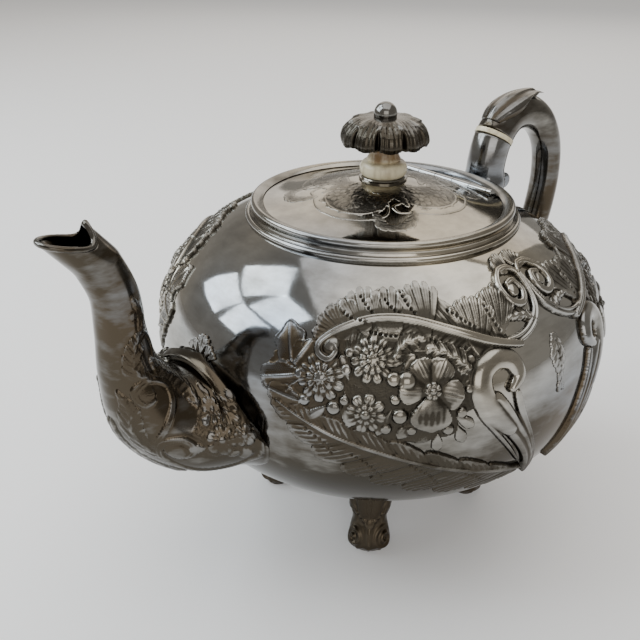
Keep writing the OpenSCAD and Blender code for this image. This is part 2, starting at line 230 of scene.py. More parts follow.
def grid_faces(rows, cols, wrap_cols=False, wrap_rows=False, flip=False):
    """Quads over a grid of points, row after row."""
    i = np.arange(rows if wrap_rows else rows - 1)
    k = np.arange(cols if wrap_cols else cols - 1)
    i, k = (a.ravel() for a in np.meshgrid(i, k, indexing="ij"))
    j, l = (i + 1) % rows, (k + 1) % cols
    quads = np.stack([i * cols + k, i * cols + l, j * cols + l, j * cols + k], 1)
    return quads[:, ::-1] if flip else quads


def skin_of_rings(name, rings, loop=False, **shades):
    """Closed skin over rings, each an array of points that turns right-handed about the
    direction of travel. Ends are closed by a fan about the ring's middle."""
    rings = np.asarray(rings, float)
    rows, cols = rings.shape[:2]
    points = rings.reshape(-1, 3)
    faces = grid_faces(rows, cols, wrap_cols=True, wrap_rows=loop).tolist()
    shades = {key: np.asarray(values, float).ravel() for key, values in shades.items()}
    if not loop:
        start, last = len(points), (rows - 1) * cols
        points = np.concatenate([points, rings[0].mean(0)[None], rings[-1].mean(0)[None]])
        for k in range(cols):
            after = (k + 1) % cols
            faces.append([start, after, k])
            faces.append([start + 1, last + k, last + after])
        shades = {key: np.concatenate([v, [v[:cols].mean(), v[-cols:].mean()]])
                  for key, v in shades.items()}
    return from_arrays(name, points, faces, **shades)


def settle(piece, body, nodes=(), material=None):
    """Gives a finished piece its body and its finish, and hides the nodes it stands for."""
    leave_edit()
    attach(piece, body)
    if nodes:
        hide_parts(*nodes)
    if material:
        piece.data.materials.clear()
        piece.data.materials.append(material)
    return piece


# ---- Relief -------------------------------------------------------------------

BURIED = -0.35      # where no ornament is, its skin lies this far under the silver


class Relief:
    """Heights of chased ornament over a chart in millimetres. Each tool raises the metal
    inside its own outline and never lowers what stands there already. tooth is how matted
    the tool in hand leaves the metal."""

    def __init__(self, u, v):
        self.u, self.v = np.asarray(u, float), np.asarray(v, float)
        self.height = np.full(self.u.shape, BURIED)
        self.matting = np.zeros(self.u.shape)
        self.tooth = 0.0

    def raise_to(self, inside, height):
        over = inside & (height > self.height)
        self.height = np.where(over, height, self.height)
        self.matting = np.where(over, self.tooth, self.matting)

    def polar(self, at, turn=0.0):
        du, dv = self.u - at[0], self.v - at[1]
        return np.hypot(du, dv), np.arctan2(dv, du) - math.radians(turn)

    def dome(self, at, r, height, base=0.0, squash=1.0, turn=0.0):
        """A round or oval boss."""
        rho, a = self.polar(at, turn)
        d = np.hypot(rho * np.cos(a) / r, rho * np.sin(a) / (r * squash))
        self.raise_to(d < 1, base + height * round_top(d))

    def ring(self, at, r, width, height, base=0.0):
        rho, _ = self.polar(at)
        d = np.abs(rho - r) / (width / 2)
        self.raise_to(d < 1, base + height * round_top(d))

    def nearest(self, path, samples=48):
        """Distance to a curve, its parameter from 0 to 1 there, and the side."""
        p = along(path, np.linspace(0, len(path) - 1, samples))
        best = np.full(self.u.shape, 1e9)
        where = np.zeros(self.u.shape)
        side = np.zeros(self.u.shape)
        reach = 20
        low, high = p.min(0) - reach, p.max(0) + reach
        near = ((self.u > low[0]) & (self.u < high[0])
                & (self.v > low[1]) & (self.v < high[1]))
        un, vn = self.u[near], self.v[near]
        b, w, s = best[near], where[near], side[near]
        for k in range(samples - 1):
            (x, y), (dx, dy) = p[k], p[k + 1] - p[k]
            du, dv = un - x, vn - y
            t = unit((du * dx + dv * dy) / (dx * dx + dy * dy))
            dist = np.hypot(du - t * dx, dv - t * dy)
            closer = dist < b
            b = np.where(closer, dist, b)
            w = np.where(closer, (k + t) / (samples - 1), w)
            s = np.where(closer, np.sign(dx * dv - dy * du), s)
        best[near], where[near], side[near] = b, w, s
        return best, where, side

    def stroke(self, path, width, height, base=0.0, groove=0.0, taper=0.6, samples=48):
        """A raised line of round section along a curve. width and height are at its middle,
        or (start, end); groove cuts a channel along it."""
        dist, t, _ = self.nearest(path, samples)
        w0, w1 = width if isinstance(width, tuple) else (width, width)
        half = (w0 + (w1 - w0) * t) / 2
        half = half * (1 - taper * np.abs(2 * t - 1) ** 4)
        d = dist / half
        body = round_top(d)
        body = body - groove * bump(d, 0.28)
        self.raise_to(d < 1, base + height * body)

    def leaf(self, path, left, right, pitch=5.0, lean=1.0, height=1.3, base=0.25,
             notch=0.34, veins=3, rib=0.7):
        """An acanthus leaf along its rib. left and right are its widths at even steps,
        and its lobes stand pitch apart and lean towards its tip."""
        dist, t, side = self.nearest(path)
        p = along(path, np.linspace(0, len(path) - 1, 100))
        run = t * np.hypot(*np.diff(p, axis=0).T).sum()
        width = np.where(side > 0, np.interp(t, np.linspace(0, 1, len(left)), left),
                         np.interp(t, np.linspace(0, 1, len(right)), right))
        phase = (run - lean * dist) / pitch + np.where(side > 0, 0.5, 0)
        f = np.abs(phase - np.floor(phase) - 0.5) * 2
        edge = width * (1 - notch + notch * round_top(f))
        d = dist / np.maximum(edge, 1e-6)
        fold = 1 - 0.55 * f ** 3
        fine = 1 - 0.13 * (1 + np.cos(TURN * veins * phase)) * unit(2.5 * d)
        swell = 0.5 + 0.5 * np.sin(math.pi * unit(d) ** 0.7)
        lip = 0.25 * bump(1 - d, 0.08)
        spine = rib * bump(dist, 0.75)
        self.raise_to(d < 1, base + height * (fold * swell * fine + lip) * 0.9 + spine)

    def fan(self, at, r, start, end, lobes, height, base=0.25, ribs=3, inner=0.12):
        """Part of a leaf: broad lobes that spread from a point between two angles, with
        a scalloped edge, a crease between lobes and fine ribs."""
        rho, a = self.polar(at)
        a0, a1 = math.radians(start), math.radians(end)
        a = np.mod(a - a0, TURN) / (a1 - a0)
        cell = a * lobes
        f = np.abs(cell - np.floor(cell) - 0.5) * 2
        edge = r * (0.87 + 0.13 * round_top(f))
        edge = edge * (0.86 + 0.14 * np.sin(math.pi * unit(a)))
        d = rho / edge
        crease = 1 - 0.45 * bump(1 - f, 0.16) * unit(1.6 * d - 0.3)
        fine = 1 - 0.07 * (1 + np.cos(TURN * ribs * cell)) * unit(2 * d - 0.5)
        swell = 0.6 + 0.4 * unit(d) ** 2
        lip = 0.3 * bump(1 - d, 0.06)
        self.raise_to((a > 0) & (a < 1) & (d < 1) & (rho > inner * r),
                      base + height * (crease * swell * fine + lip))

    def petals(self, at, r, count, height, base=0.0, turn=0.0, inner=0.2, crease=0.35):
        """One ring of a flower's petals, round-ended and creased."""
        rho, a = self.polar(at, turn)
        cell = np.mod(a * count / TURN, 1)
        f = np.abs(cell - 0.5) * 2
        edge = r * (0.66 + 0.34 * np.sqrt(unit(1 - f ** 2.4)))
        d = rho / edge
        cup = np.sqrt(unit(1 - (f * 0.96) ** 2)) * (1 - crease * bump(f, 0.2))
        tip = np.sqrt(unit(1 - d ** 6)) * (0.55 + 0.45 * unit(d))
        self.raise_to((d < 1) & (rho > inner * r), base + height * (0.25 + 0.75 * cup) * tip)

    def daisy(self, at, r, count=9, height=1.6, turn=0.0):
        """Two rings of petals round a beaded middle."""
        self.petals(at, r, count, height * 0.7, 0.3, turn)
        self.petals(at, r * 0.62, count, height, 0.55, turn + 180 / count)
        self.dome(at, r * 0.27, height * 0.75, 0.9)
        for k in range(7):
            a = TURN * k / 7
            spot = (at[0] + 0.19 * r * math.cos(a), at[1] + 0.19 * r * math.sin(a))
            self.dome(spot, 0.075 * r, 0.3, height * 0.55 + 0.9)

    def petal(self, root, tip, width, height, base=0.4, ribs=5):
        """One broad ribbed petal from its root to its tip."""
        root, tip = np.array(root, float), np.array(tip, float)
        length = np.hypot(*(tip - root))
        e = (tip - root) / length
        x = ((self.u - root[0]) * e[0] + (self.v - root[1]) * e[1]) / length
        y = (-(self.u - root[0]) * e[1] + (self.v - root[1]) * e[0])
        half = width / 2 * np.sqrt(unit(np.sin(math.pi * unit(x) ** 1.9)))
        d = np.abs(y) / np.maximum(half, 1e-6)
        fine = 1 - 0.035 * (1 + np.cos(TURN * ribs * y / width)) * unit(x * 1.4)
        bowl = (0.45 + 0.55 * unit(x)) * (1 - 0.5 * d ** 2) * fine
        lip = 0.12 * bump(1 - d, 0.12)
        self.raise_to((x > 0) & (x < 1) & (d < 1), base + height * (bowl + lip))

    def hatched_leaf(self, at, r, squash, turn, height=1.1):
        """A rounded leaf with a midrib, a rim and crossed hatching."""
        rho, a = self.polar(at, turn)
        x, y = rho * np.cos(a), rho * np.sin(a)
        wave = 1 + 0.1 * np.cos(5 * a)
        d = np.hypot(x / r, y / (r * squash)) / wave
        hatch = 0.12 * np.sin(TURN * (x + y) / 1.1) * np.sin(TURN * (x - y) / 1.1)
        rib = 0.35 * bump(y, 0.45)
        lip = 0.4 * bump(1 - d, 0.09)
        top = height * (0.35 + 0.4 * round_top(d)) + hatch + rib + lip
        self.raise_to(d < 1, 0.2 + top)

    def ground(self, at, r, squash=1.0, height=0.22):
        """A patch of matted ground, sunk between the flowers."""
        rho, a = self.polar(at)
        d = np.hypot(rho * np.cos(a) / r, rho * np.sin(a) / (r * squash))
        d = d / (1 + 0.06 * np.cos(9 * a) + 0.05 * np.cos(14 * a + 1))
        mat = 0.09 * np.sin(5.1 * self.u + 1.7 * np.sin(3.3 * self.v)) * np.sin(
            4.7 * self.v + 1.9 * np.sin(3.7 * self.u))
        self.raise_to(d < 1, height + mat)

    def punch(self, path, spacing=1.5, r=0.5, depth=0.45):
        """A row of punched dots: the one tool that sinks the metal."""
        p = along(path, np.linspace(0, len(path) - 1, 200))
        run = np.concatenate([[0], np.cumsum(np.hypot(*np.diff(p, axis=0).T))])
        for s in np.arange(spacing / 2, run[-1], spacing):
            at = (np.interp(s, run, p[:, 0]), np.interp(s, run, p[:, 1]))
            near = (np.abs(self.u - at[0]) < r) & (np.abs(self.v - at[1]) < r)
            rho = np.hypot(self.u[near] - at[0], self.v[near] - at[1])
            dip = depth * unit(1 - (rho / r) ** 2)
            self.height[near] = np.where(self.height[near] > 0,
                                         np.maximum(self.height[near] - dip, 0.02),
                                         self.height[near])


def blurred(field, reach):
    """Box blur of a two-way array."""
    out = field
    for axis in (0, 1):
        pad = [(0, 0), (0, 0)]
        pad[axis] = (reach + 1, reach)
        run = np.cumsum(np.pad(out, pad, mode="edge"), axis=axis)
        size = out.shape[axis]
        ahead = np.take(run, np.arange(2 * reach + 1, 2 * reach + 1 + size), axis=axis)
        behind = np.take(run, np.arange(0, size), axis=axis)
        out = (ahead - behind) / (2 * reach + 1)
    return out


def tarnish_of(height, reach, scale=3.2):
    """How dark the tarnish lies: 1 in hollows, 0 on what a cloth rubs bright."""
    hollow = blurred(blurred(height, reach), reach) - height
    return unit(0.42 + scale * hollow)


def relief_skin(name, relief, place, reach=4, flip=False):
    """The part of a relief that stands proud, as an open skin whose rim is buried."""
    shape = relief.height.shape
    points = place(relief.u, relief.v, relief.height).reshape(-1, 3)
    proud = relief.height > BURIED + 0.01
    cell = proud[:-1, :-1] | proud[1:, :-1] | proud[:-1, 1:] | proud[1:, 1:]
    faces = grid_faces(*shape, flip=flip)[cell.ravel()]
    used = np.unique(faces)
    lookup = np.full(points.shape[0], -1)
    lookup[used] = np.arange(len(used))
    return from_arrays(name, points[used], lookup[faces],
                       patina=tarnish_of(relief.height, reach).ravel()[used],
                       matting=relief.matting.ravel()[used])


# ---- Finishes -----------------------------------------------------------------

class Flow:
    """A shader socket that takes part in sums."""

    def __init__(self, finish, socket):
        self.finish, self.socket = finish, socket

    def math(self, operation, a, b):
        return self.finish.node("ShaderNodeMath", {"operation": operation}, a, b)

    def __add__(self, other):
        return self.math("ADD", self, other)

    def __sub__(self, other):
        return self.math("SUBTRACT", self, other)

    def __rsub__(self, other):
        return self.math("SUBTRACT", other, self)

    def __mul__(self, other):
        return self.math("MULTIPLY", self, other)

    __radd__ = __add__
    __rmul__ = __mul__

    def clear(self):
        """The value kept between 0 and 1."""
        return self.finish.node("ShaderNodeClamp", {}, self)


class Finish:
    """A material and the nodes behind its one shader."""

    def __init__(self, name):
        self.material = bpy.data.materials.new(name)
        self.material.use_nodes = True
        self.tree = self.material.node_tree
        self.shader = self.tree.nodes["Principled BSDF"]

    def node(self, kind, settings, *values, out=0, **named):
        made = self.tree.nodes.new(kind)
        for key, value in settings.items():
            setattr(made, key, value)
        for i, value in list(enumerate(values)) + list(named.items()):
            self.join(made.inputs[i], value)
        return Flow(self, made.outputs[out])

    def join(self, socket, value):
        if isinstance(value, Flow):
            self.tree.links.new(value.socket, socket)
        else:
            socket.default_value = value

    def blend(self, factor, a, b):
        """Colour a going over to colour b."""
        made = self.tree.nodes.new("ShaderNodeMix")
        made.data_type = "RGBA"
        for i, value in ((0, factor), (6, a), (7, b)):
            self.join(made.inputs[i], value)
        return Flow(self, made.outputs[2])

    def place(self, stretch=(1, 1, 1)):
        """Object coordinates, stretched along the axes."""
        where = self.node("ShaderNodeTexCoord", {}, out="Object")
        return self.node("ShaderNodeMapping", {}, where, Scale=stretch)

    def noise(self, where, scale, detail=3.0, rough=0.55):
        return self.node("ShaderNodeTexNoise", {}, Vector=where, Scale=scale,
                         Detail=detail, Roughness=rough)

    def relief(self, height, depth, strength=1.0):
        self.join(self.shader.inputs["Normal"],
                  self.node("ShaderNodeBump", {}, Strength=strength, Distance=depth * MM,
                            Height=height))

    def set(self, **values):
        for key, value in values.items():
            self.join(self.shader.inputs[key.replace("_", " ")], value)
        return self.material


def paint(colour):
    return (*colour, 1.0)


def silver(name, looks, wear=0.5, gloss=0.0, dimple=0.05, fine=0.0, below=0.0):
    """Tarnished silver, with shade painted into its colour under the belly. wear darkens it all
    over, below is how strongly that painted shade darkens it under the belly, gloss lowers its
    roughness, dimple is the depth of the marks of hand work and fine that of a cast skin."""
    f = Finish(name)
    where = f.place()
    cloud = f.noise(where, 26.0, 4.0, 0.6)
    smear = f.noise(f.place((1, 1, 3.5)), 70.0, 4.0, 0.65)
    tint = f.noise(where, 11.0, 2.0)
    age = f.node("ShaderNodeAttribute", {"attribute_name": "patina"}, out="Fac")
    tooth = f.node("ShaderNodeAttribute", {"attribute_name": "matting"}, out="Fac")
    rise = f.node("ShaderNodeSeparateXYZ", {}, f.place(), out="Z")
    # painted shade: from 20 mm above the widest line down, the colour darkens towards the tarnish
    # colours, more so lower down, standing in for the darker reflections under the belly
    shade = ((BELLY_Z + 20) * MM - rise) * (below / (45 * MM))
    dark = ((cloud - 0.5) * 1.5 + (smear - 0.5) * 0.9 + age * 0.95 + shade.clear()
            + tooth * 0.16 + (wear - 0.25)).clear()
    clean = f.blend((tint * 3.0 - 0.9).clear(), paint(looks.bright), paint(looks.cool))
    # stain is the tarnish colour, and also the colour that the painted shade under the belly
    # darkens the silver to
    stain = f.blend((tint * 3.4 - 1.3).clear(), paint(looks.tarnish), paint(looks.warm))
    height = f.noise(where, 55.0, 2.0) * (dimple + 1e-4)
    grain = f.noise(f.place((1, 1, 1.6)), 1050.0, 1.0, 0.4)
    height = height + grain * (0.004 + fine + tooth * 0.11)
    f.relief(height, 1.0)
    rough = 0.09 - gloss + smear * 0.07 + dark * 0.09 + age * 0.14 + tooth * 0.08
    return f.set(Base_Color=f.blend(dark, clean, stain), Metallic=1.0, Roughness=rough)


def bone(name, looks, streaks=True):
    """Old bone: pale, with brown streaks along the grain."""
    f = Finish(name)
    grain = f.noise(f.place((1, 1, 0.12) if streaks else (1, 1, 1)), 330.0, 4.0, 0.6)
    stain = f.noise(f.place(), 90.0, 3.0)
    rise = f.node("ShaderNodeSeparateXYZ", {}, f.place(), out="Z")
    # the spool's colour turns darker from brown_from up to under the flower cap
    brown = ((rise - looks.brown_from * MM) * 420.0).clear() if streaks else stain * 0.1
    dark = ((grain - 0.5) * 2.2 + (stain - 0.5) * 0.8 + 0.1 + brown * 0.85).clear()
    f.relief(grain, 0.06)
    return f.set(Base_Color=f.blend(dark, paint(looks.bone), paint(looks.bone_dark)),
                 Roughness=0.34, Specular_IOR_Level=0.5, Coat_Weight=0.25)


# below is how strongly shade is painted into each finish's colour under the belly
SILVERS = {
    "raised": ("Raised silver", {"wear": 0.5, "gloss": 0.07, "dimple": 0.12, "below": 1.0}),
    "chased": ("Chased silver", {"wear": 0.62, "dimple": 0.02, "fine": 0.006, "below": 0.6}),
    "cast": ("Cast silver", {"wear": 0.8, "gloss": 0.02, "dimple": 0.05, "fine": 0.004}),
    "spout": ("Spout silver", {"wear": 1.05, "gloss": 0.07, "dimple": 0.06, "fine": 0.003}),
    "cap": ("Flower silver", {"wear": 0.82, "gloss": 0.01, "dimple": 0.03, "fine": 0.004}),
    "hinge": ("Hinge silver", {"wear": 0.1, "dimple": 0.0})}
BONES = {"spool": ("Turned bone", {}), "ring": ("Bone rings", {"streaks": False})}
FINISHES = {}


def finish(key):
    """One of the teapot's finishes, made when it is first asked for."""
    if key not in FINISHES:
        make, (name, how) = ((silver, SILVERS[key]) if key in SILVERS else (bone, BONES[key]))
        FINISHES[key] = make(name, bpy.context.scene.teapot_looks, **how)
    return FINISHES[key]


def colour(name, description, default):
    return bpy.props.FloatVectorProperty(name=name, description=description, default=default,
                                         subtype="COLOR", size=3, min=0, max=1)


def angle(name, description, degrees):
    return bpy.props.FloatProperty(name=name, description=description,
                                   default=math.radians(degrees), subtype="ANGLE")


class TeapotLooks(bpy.types.PropertyGroup):
    """Colours of the metal and the insulators."""
    bright: colour("Clean silver", "Colour of rubbed silver", (0.55, 0.505, 0.42))
    cool: colour("Cool silver", "Colour of silver under a first bluish film", (0.29, 0.34, 0.41))
    # the tarnish colours also carry the shade painted under the belly of the silver
    tarnish: colour("Tarnish", "Colour of the grey tarnish", (0.05, 0.045, 0.036))
    warm: colour("Warm tarnish", "Colour of the brown tarnish", (0.09, 0.069, 0.046))
    bone: colour("Bone", "Colour of the insulators", (0.80, 0.73, 0.52))
    bone_dark: colour("Stained bone", "Colour of the streaks in the bone", (0.24, 0.15, 0.065))
    # height from which the spool's colour turns darker, up to under the flower cap
    brown_from: bpy.props.FloatProperty(
        name="Stain height", description="Height above which the spool is stained, in mm",
        default=135.6, min=130, max=143)


class TeapotChasing(bpy.types.PropertyGroup):
    """Size of the chased work."""
    depth: bpy.props.FloatProperty(
        name="Depth", description="Factor on the height of all chased work",
        default=1.0, min=0.3, max=1.4)
    grid: bpy.props.FloatProperty(
        name="Tool size", description="Width of the finest mark, in mm",
        default=0.3, min=0.2, max=0.6)


class TeapotStage(bpy.types.PropertyGroup):
    """Camera and floor."""
    camera_at: bpy.props.FloatVectorProperty(
        name="Camera", description="Place of the camera", subtype="TRANSLATION", size=3,
        default=(-0.20608, -0.20402, 0.21859))
    heading: angle("Heading", "Turn of the view from the pot's axis", 4.281)
    tilt: angle("Tilt", "Slope of the view below the horizon", 26.521)
    roll: angle("Roll", "Roll of the camera", 0.430)
    lens: bpy.props.FloatProperty(
        name="Lens", description="Focal length in mm on a 36 mm sensor",
        default=48.0, min=20, max=120)
    floor: bpy.props.FloatProperty(
        name="Floor", description="Width of the floor", subtype="DISTANCE", default=8.0)


class PieceMaker(bpy.types.Operator):
    """Shared settings of the operators"""
    bl_options = {"REGISTER", "UNDO"}


# ---- Pot ----------------------------------------------------------------------

WALL = 1.3
BITE = 0.6
ROOT_Z = 69.0
HINGE_EDGE = HINGE_R + 0.3


def shoulder_z(r):
    """Height of the body's shoulder at radius r."""
    return BELLY_Z + SHOULDER * quarter(np.asarray(r) / BELLY_R, SHOULDER_N)


def body_outline(inset, steps):
    """Half outline of the sheet from the middle of the floor to the mouth."""
    big = BELLY_R - inset
    a = np.linspace(0, math.pi / 2, steps)
    r_low = big * np.sin(a) ** 0.95
    low = BELLY_Z - (BOWL_DEPTH - inset) * quarter(r_low / big, BOWL_N)
    r_high = MOUTH_R + (big - MOUTH_R) * np.cos(a[1:])
    high = BELLY_Z + (SHOULDER - inset) * quarter(r_high / big, SHOULDER_N)
    return list(zip(r_low, low)) + list(zip(r_high, high))


class TEAPOT_OT_body(PieceMaker):
    """Raise the body, a spun double skin pierced behind the spout"""
    bl_idname = "teapot.body"
    bl_label = "Body"

    def execute(self, context):
        outline = body_outline(0, 30) + body_outline(WALL, 30)[::-1]
        body = spun("raised_body", outline, steps=128, rounds=1)
        drills = []
        hole_r, ring_step = 1.3, 6
        for ring in range(3):
            holes = max(1, 6 * ring)
            for k in range(holes):
                a = TURN * k / holes
                leave_edit()
                bpy.ops.mesh.primitive_cylinder_add(
                    vertices=20, radius=hole_r * MM, depth=16 * MM,
                    location=(-(BELLY_R - 2) * MM, ring_step * ring * math.cos(a) * MM,
                              (ROOT_Z + ring_step * ring * math.sin(a)) * MM),
                    rotation=(0, math.pi / 2, 0))
                drills.append(context.object)
        only(drills[0])
        for drill in drills:
            drill.select_set(True)
        bpy.ops.object.join()
        drill = context.object
        only(body)
        cut = body.modifiers.new("strainer", "BOOLEAN")
        cut.operation, cut.object, cut.solver = "DIFFERENCE", drill, "EXACT"
        bpy.ops.object.modifier_apply(modifier=cut.name)
        bpy.data.objects.remove(drill)
        smooth(body)
        settle(body, "pot", ["body"], finish("raised"))
        return {"FINISHED"}


def arc(centre, r, start, end, n):
    """Points of an arc in n steps between two angles in degrees."""
    a = np.radians(np.linspace(start, end, n + 1))
    return [(centre[0] + r * math.cos(x), centre[1] + r * math.sin(x)) for x in a]


class TEAPOT_OT_collar(PieceMaker):
    """Cast the collar: lip bead, hollow and foot bead"""
    bl_idname = "teapot.collar"
    bl_label = "Collar"

    def execute(self, context):
        lip = (MOUTH_R + 2.8, LIP_Z - 1.35)
        foot = (MOUTH_R + 5.1, float(shoulder_z(MOUTH_R + 5.1)) + 0.6)
        hollow = (MOUTH_R + 5.4, (lip[1] + foot[1]) / 2)
        out = foot[0] + 0.95
        outline = ([(MOUTH_R, LID_Z - 1.5), (MOUTH_R, LID_Z + 0.3), (MOUTH_R + 0.5, LIP_Z - 0.9),
                    (MOUTH_R + 1.2, LIP_Z - 0.4)]
                   + arc(lip, 1.35, 120, -40, 12) + arc(hollow, 2.2, 155, 215, 6)
                   + arc(foot, 1.1, 130, -20, 10) + [(out, foot[1] - 1.2)]
                   + [(MOUTH_R + 2, float(shoulder_z(MOUTH_R)) - 1.2), (MOUTH_R, LID_Z - 1.5)])
        collar = spun("collar_moulding", outline, steps=192, rounds=0, angle=35)
        settle(collar, "pot", ["collar"], finish("chased"))
        return {"FINISHED"}


# ---- Chasing on the body --------------------------------------------------------

CREST_U = 2.0       # the line about which each side's ornament is mirrored
ENGRAVED = 0.38     # height of the lid's work, beside that of the same tools on the body
LOW_RELIEF = 0.46   # and of the spout's


def chased_side(grid, depth):
    """Half of one side's ornament: acanthus, flowers and scrolls."""
    u = np.arange(-101, CREST_U + grid, grid)
    v = np.arange(-30, 57, grid)
    r = Relief(*np.meshgrid(u, v))
    # matted bed under the flowers
    r.tooth = 1.0
    r.ground((-60, 15), 30, 0.55)
    r.ground((-84, 18), 14, 0.7)
    r.ground((-42, 20), 14, 0.8)
    # great leaf over the flowers: broad overlapping fans that rise from one rib
    r.tooth = 0.7
    r.leaf([(-19, 26), (-30, 30), (-44, 34), (-58, 37), (-70, 35), (-78, 30), (-79.5, 26)],
           left=[1, 5.5, 7.5, 8, 8, 5, 3], right=[3, 9, 11, 11, 11.5, 8, 4], pitch=5, lean=0.8,
           height=0.75, notch=0.2, veins=3, rib=0)
    for at, r_fan, start, end, lobes, lift in (
            ((-72, 30.5), 14, 84, 186, 5, 0.4), ((-58, 28), 20.5, 62, 128, 6, 0.45),
            ((-66, 31), 17.5, 74, 142, 5, 0.5), ((-46, 30), 20.5, 66, 126, 5, 0.5),
            ((-30, 24), 19.5, 50, 118, 6, 0.5), ((-22, 27), 18.5, 40, 100, 5, 0.6)):
        r.fan(at, r_fan, start, end, lobes, 0.8, base=lift, ribs=3, inner=0.03)
    r.tooth = 0.0
    r.dome((-77.8, 28.6), 3.0, 1.3, 0.7)
    r.stroke([(-14, 25.6), (-24, 28.2), (-38, 33.4), (-52, 37.4), (-64, 37.6), (-74, 34.4),
              (-81, 29.5), (-81.4, 26), (-78, 24.4), (-75.6, 27), (-77.4, 28.8)],
             (3.4, 1.6), 1.0, 1.15, groove=0.35, taper=0.4)
    for path in ([(-70.5, 45), (-67, 41), (-64, 38.8)], [(-55, 47), (-52, 42), (-49, 38.6)],
                 [(-61, 44.4), (-58, 41), (-54, 39)], [(-38, 40), (-33.5, 36.5), (-28, 32.6)],
                 [(-76, 39), (-72, 37), (-67, 36)], [(-23, 40), (-22, 35.5), (-20.4, 31)],
                 [(-66, 33.6), (-58, 32.4), (-51, 33)], [(-46, 31.4), (-39, 28.6), (-33, 27.6)]):
        r.punch(path, 1.7, 0.62, 0.75)
    # small leaves that fill the bed's upper edge
    r.tooth = 0.4
    r.leaf([(-34, 22), (-39, 26), (-46, 28.5)], [2.6, 3.4, 2], [2.6, 4, 2], 3.4, 0.8, 1.1)
    r.leaf([(-57, 26), (-54, 30), (-48, 31.5)], [2, 3, 1.6], [2.4, 3, 1.6], 3.0, 0.8, 1.0)
    r.tooth = 0.0
    # hatched leaves beside the spout
    r.hatched_leaf((-91.5, 27.5), 6.4, 0.8, 110)
    r.hatched_leaf((-86.5, 25), 4.6, 0.8, 60)
    r.hatched_leaf((-93, 17), 6.8, 0.66, 15)
    r.hatched_leaf((-91, 12), 5.6, 0.6, -10)
    # flowers
    r.daisy((-64, 25.5), 7.2, 11, 1.9, 8)
    r.daisy((-79.5, 19), 7.6, 10, 2.0, 0)
    r.petals((-65.5, 9.5), 6.2, 8, 1.2, 0.4, 10)
    r.petals((-65.5, 9.5), 3.4, 8, 1.3, 0.7, 32)
    r.dome((-65.5, 9.5), 1.5, 1.2, 1.2)
    heart = (-46, 16.5)
    for tip, width, base in (((-50.5, 25.6), 8.4, 0.3), ((-41.4, 25.2), 8.4, 0.3),
                             ((-56, 17.6), 9, 0.6), ((-36.6, 14), 9, 0.6),
                             ((-46.6, 4.4), 12.4, 0.95)):
        r.petal(heart, tip, width, 1.7, base, 7)
    r.dome((-53.6, 19.4), 3.0, 2.0, 0.5)
    r.petals(heart, 2.6, 7, 1.0, 1.4, inner=0)
    r.dome(heart, 0.9, 0.6, 2.2)
    # buds, beads and small leaves between the flowers
    for at, size in (((-75, 10.5), 2.2), ((-72, 13), 1.5), ((-57.5, 20), 2.3), ((-55.5, 9), 2.4),
                     ((-52, 4.5), 1.7), ((-71.5, 27), 1.6), ((-72, 22), 1.7), ((-57, 14), 1.6),
                     ((-84, 11.5), 1.7), ((-59.5, 5), 1.8), ((-86.5, 19), 1.5), ((-41, 4), 1.8),
                     ((-34.5, 16), 1.5), ((-37, 9), 1.7)):
        r.dome(at, size, size * 0.62, 0.5)
        r.ring(at, size * 0.55, size * 0.4, 0.3, 0.5 + size * 0.4)
    for root, tip in (((-58, 11), (-62, 3)), ((-72, 16), (-70, 5)), ((-55, 22), (-51, 27)),
                      ((-71, 19), (-74, 26)), ((-37, 20), (-32, 25)), ((-37, 17), (-31, 19)),
                      ((-84, 14), (-88, 7)), ((-77, 11), (-82, 6)), ((-50, 8), (-56, 2)),
                      ((-39, 8), (-33, 4)), ((-38, 5), (-36, -1)), ((-44, 3), (-44, -3))):
        r.petal(root, tip, 3.6, 0.9, 0.35, 3)
    for at in ((-36, 22.5), (-38.5, 25), (-33.5, 21)):
        r.petals(at, 2.3, 5, 0.8, 0.4, 12)
    # lower spray
    r.tooth = 0.7
    r.leaf([(-12, -21), (-28, -15), (-44, -9.5), (-60, -4), (-76, 1.5), (-92, 9)],
           left=[3, 12, 13, 12.5, 10, 3], right=[1.5, 4, 5, 6, 6, 2],
           pitch=11.5, lean=1.15, height=1.15, notch=0.34, veins=5, rib=0.2)
    r.tooth = 0.0
    r.stroke([(-10, -20), (-28, -14.4), (-44, -9), (-60, -3.4), (-76, 2), (-93, 10)],
             (2.2, 1.2), 0.9, 0.8, groove=0.2)
    for path in ([(-70, -4), (-64, -8), (-60, -13)], [(-52, -8), (-46, -12), (-42, -17)],
                 [(-34, -14), (-29, -17), (-25, -21)], [(-84, 3), (-78, -1), (-75, -5)]):
        r.punch(path, 1.8, 0.6, 0.6)
    # ear-shaped scroll boss and its ridged stalk
    r.stroke([(-20, 13.6), (-17, 17), (-19, 21.6), (-24.6, 23), (-29.6, 19.6), (-30, 13),
              (-26, 6.5), (-20, 0)], (5.5, 9.5), 2.3, 0.1, taper=0.45)
    r.stroke([(-26, 10), (-21, 3), (-15, -5), (-9.6, -14), (-5, -25)],
             (9, 2.6), 2.0, 0.1, groove=0.3, taper=0.2)
    r.stroke([(-18, 12), (-15.6, 4), (-11.4, -5), (-7.4, -14), (-4, -24)],
             (3.6, 1.6), 1.5, 0.2, groove=0.2, taper=0.4)
    r.stroke([(-33.5, 14), (-30.5, 7), (-25, 0), (-18.6, -8), (-12.6, -16)], (2.4, 1.4), 1.2, 0.2)
